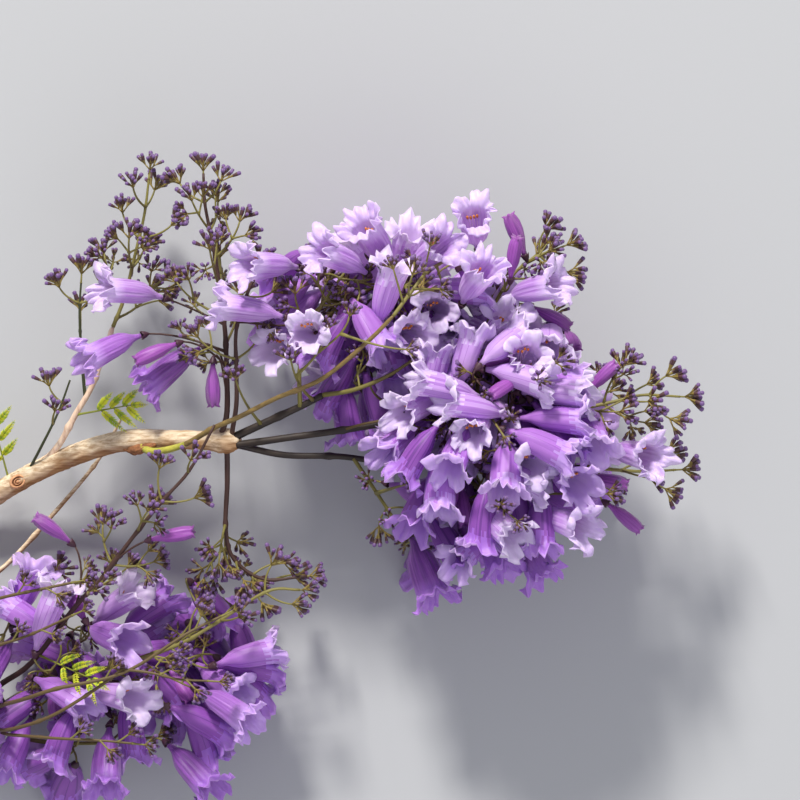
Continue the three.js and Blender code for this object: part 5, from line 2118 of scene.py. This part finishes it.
seed = 20
for plant in panicles:
    for flower in plant.flowers:
        if flower["solo"]:
            seed += 1
            shape = single_flower(flower, seed)
            # a solo flower's streaked skin is chosen the same way, with painted light and shade
            kinds = [streaked_petals[tint_with_painted_light_of(flower, dice(seed))], filament, anther]
            piece = make_piece(flower["solo"] + "_petals", shape, kinds, [flower["solo"]])
            print(piece.name, "faces:", len(piece.data.polygons))

# %% [markdown]
# Crowded flowers that face up let one look into their mouths, so they get stamens too.
# Three sets of stamens are enough, each stamped many times.

# %% Stamens of the crowded flowers
LOOKS_UP = 0.45


def stamen_set(seed):
    shape = bmesh.new()
    add_stamens(shape, seed)
    for face in shape.faces:
        face.material_index -= 1
    return finished_mesh("stamens", shape)


stamen_sets = [stamen_set(seed) for seed in (3, 8, 14)]
for region, names in REGIONS.items():
    facing = [flower for flower in crowd_of(names) if flower["direction"][2] > LOOKS_UP and not flower["shut"]]
    shape = bmesh.new()
    for k, flower in enumerate(facing):
        stamp(shape, stamen_sets[k % len(stamen_sets)], flower_stand(flower))
    if facing:
        make_piece(f"{region}_stamens", shape, [filament, anther], names)
    print(region, "flowers that show their stamens:", len(facing))

# %% [markdown]
# ## Young leaves
# A young leaf is twice feathered: pairs of pinnae on a midrib, and pairs of leaflets on each pinna.
# One leaflet is a small grid that is pinched to a lozenge, folded along its middle, and given a thickness.
# It is stamped along each pinna, and its size falls off towards the pinna's tip.

# %% One leaflet
LEAFLET_LENGTH = 3.4
LEAFLET_WIDTH = 0.9
LEAF_SKIN = 0.15

leaf_bright = plain("leaf_bright", (0.80, 0.82, 0.13), 0.5, sheen=0.1, subsurface=0.3, depth=1.0)
leaf_green = plain("leaf_green", (0.60, 0.71, 0.13), 0.5, sheen=0.1, subsurface=0.3, depth=1.0)
leaf_rib = plain("leaf_rib", (0.55, 0.58, 0.20), 0.55)

shape = bmesh.new()
bmesh.ops.create_grid(shape, x_segments=4, y_segments=5, size=0.5)
for vert in shape.verts:
    across_it, along_it = vert.co.x, vert.co.y + 0.5
    breadth = 1.3 * math.sin(math.pi * (0.06 + 0.93 * along_it) ** 0.7)
    fold = 0.35 * abs(across_it) * 2 * LEAFLET_WIDTH * breadth
    arch = 0.5 * math.sin(math.pi * along_it)
    vert.co = Vector((across_it * LEAFLET_WIDTH * breadth, along_it * LEAFLET_LENGTH, fold + arch))
bmesh.ops.recalc_face_normals(shape, faces=shape.faces)
bmesh.ops.solidify(shape, geom=list(shape.faces), thickness=LEAF_SKIN)
leaflet = finished_mesh("leaflet", shape)
print("faces of a leaflet:", len(leaflet.polygons))


# %% Draw the leaves
LEAFLET_GAP = 1.4
FEWEST_LEAFLETS = 6
LONGEST_PINNA = 18


def leaf_place(p, forward, up, size):
    """A matrix with Y along `forward` and Z near `up`."""
    side = unit(np.cross(forward, up))
    return placed(side, forward, np.cross(side, forward), p) @ scaled(size)


def draw_pinna(shape, root, lean, up, reach, roll):
    """A midrib with pairs of leaflets that stand apart like the teeth of a comb."""
    count = max(FEWEST_LEAFLETS, round(reach / LEAFLET_GAP))
    sag = unit(HANG + up * 0.2) * 0.14 * reach
    tip = root + lean * reach + sag
    line = bowed(root, tip, unit(lean + up * 0.25), unit(tip - root - up * 0.2 * reach), 6)
    before = len(shape.faces)
    grow_tube(shape, line, taper(0.3, 0.18, 6, 1.2), 5)
    paint(shape, before, 2)
    curve = Spline(line)
    for k in range(1, count + 1):
        t = k / count
        spot, way = curve.at(t), unit(curve.tangent(t))
        aside = unit(np.cross(way, up))
        size = (0.3 + 0.85 * math.sin(math.pi * (0.08 + 0.9 * t) ** 0.6)) * min(1.0, reach / 12)
        before = len(shape.faces)
        for hand in (-1, 1):
            if t < 1:
                forward = unit(way * (1.0 + 0.3 * roll()) + aside * hand + up * 0.12)
                stamp(shape, leaflet, leaf_place(spot, forward, up, size * (0.9 + 0.2 * roll())))
        if k == count:
            stamp(shape, leaflet, leaf_place(spot, way, up, size * 1.1))
        paint(shape, before, int(roll() < 0.35))


def draw_leaf(row, seed):
    """A leaf from its foot to its tip, with as many pairs of pinnae as the solid has."""
    roll = dice(seed)
    foot, tip = np.array(row["foot"], float), np.array(row["tip"], float)
    direction = unit(tip - foot)
    length = np.linalg.norm(tip - foot)
    sideways = unit(np.cross(direction, UP))
    up = np.cross(sideways, direction)
    shape = bmesh.new()
    midrib = [foot + direction * length * t + up * 1.2 * math.sin(math.pi * t) for t in np.linspace(0, 1, 9)]
    grow_tube(shape, midrib, taper(0.75, 0.3, 8, 1.3), 7)
    paint(shape, 0, 2)
    curve = Spline(midrib)
    pairs = row["pinnae"]
    for i in range(1, pairs + 1):
        t = 0.22 + 0.66 * i / pairs
        for hand in (-1, 1):
            lean = unit(direction * 0.8 + sideways * 0.75 * hand + up * 0.3 * (roll() - 0.3))
            reach = min(length * (0.6 - 0.06 * i), LONGEST_PINNA) * (0.85 + 0.2 * roll())
            draw_pinna(shape, curve.at(t + 0.03 * hand), lean, up, reach, roll)
    draw_pinna(shape, curve.at(0.97), direction, up, 0.3 * length, roll)
    kinds = [leaf_bright, leaf_green, leaf_rib]
    return make_piece(row["name"] + "_feathers", shape, kinds, [row["name"]])


for seed, row in enumerate(LEAVES, 60):
    piece = draw_leaf(row, seed)
    print(piece.name, "faces:", len(piece.data.polygons))
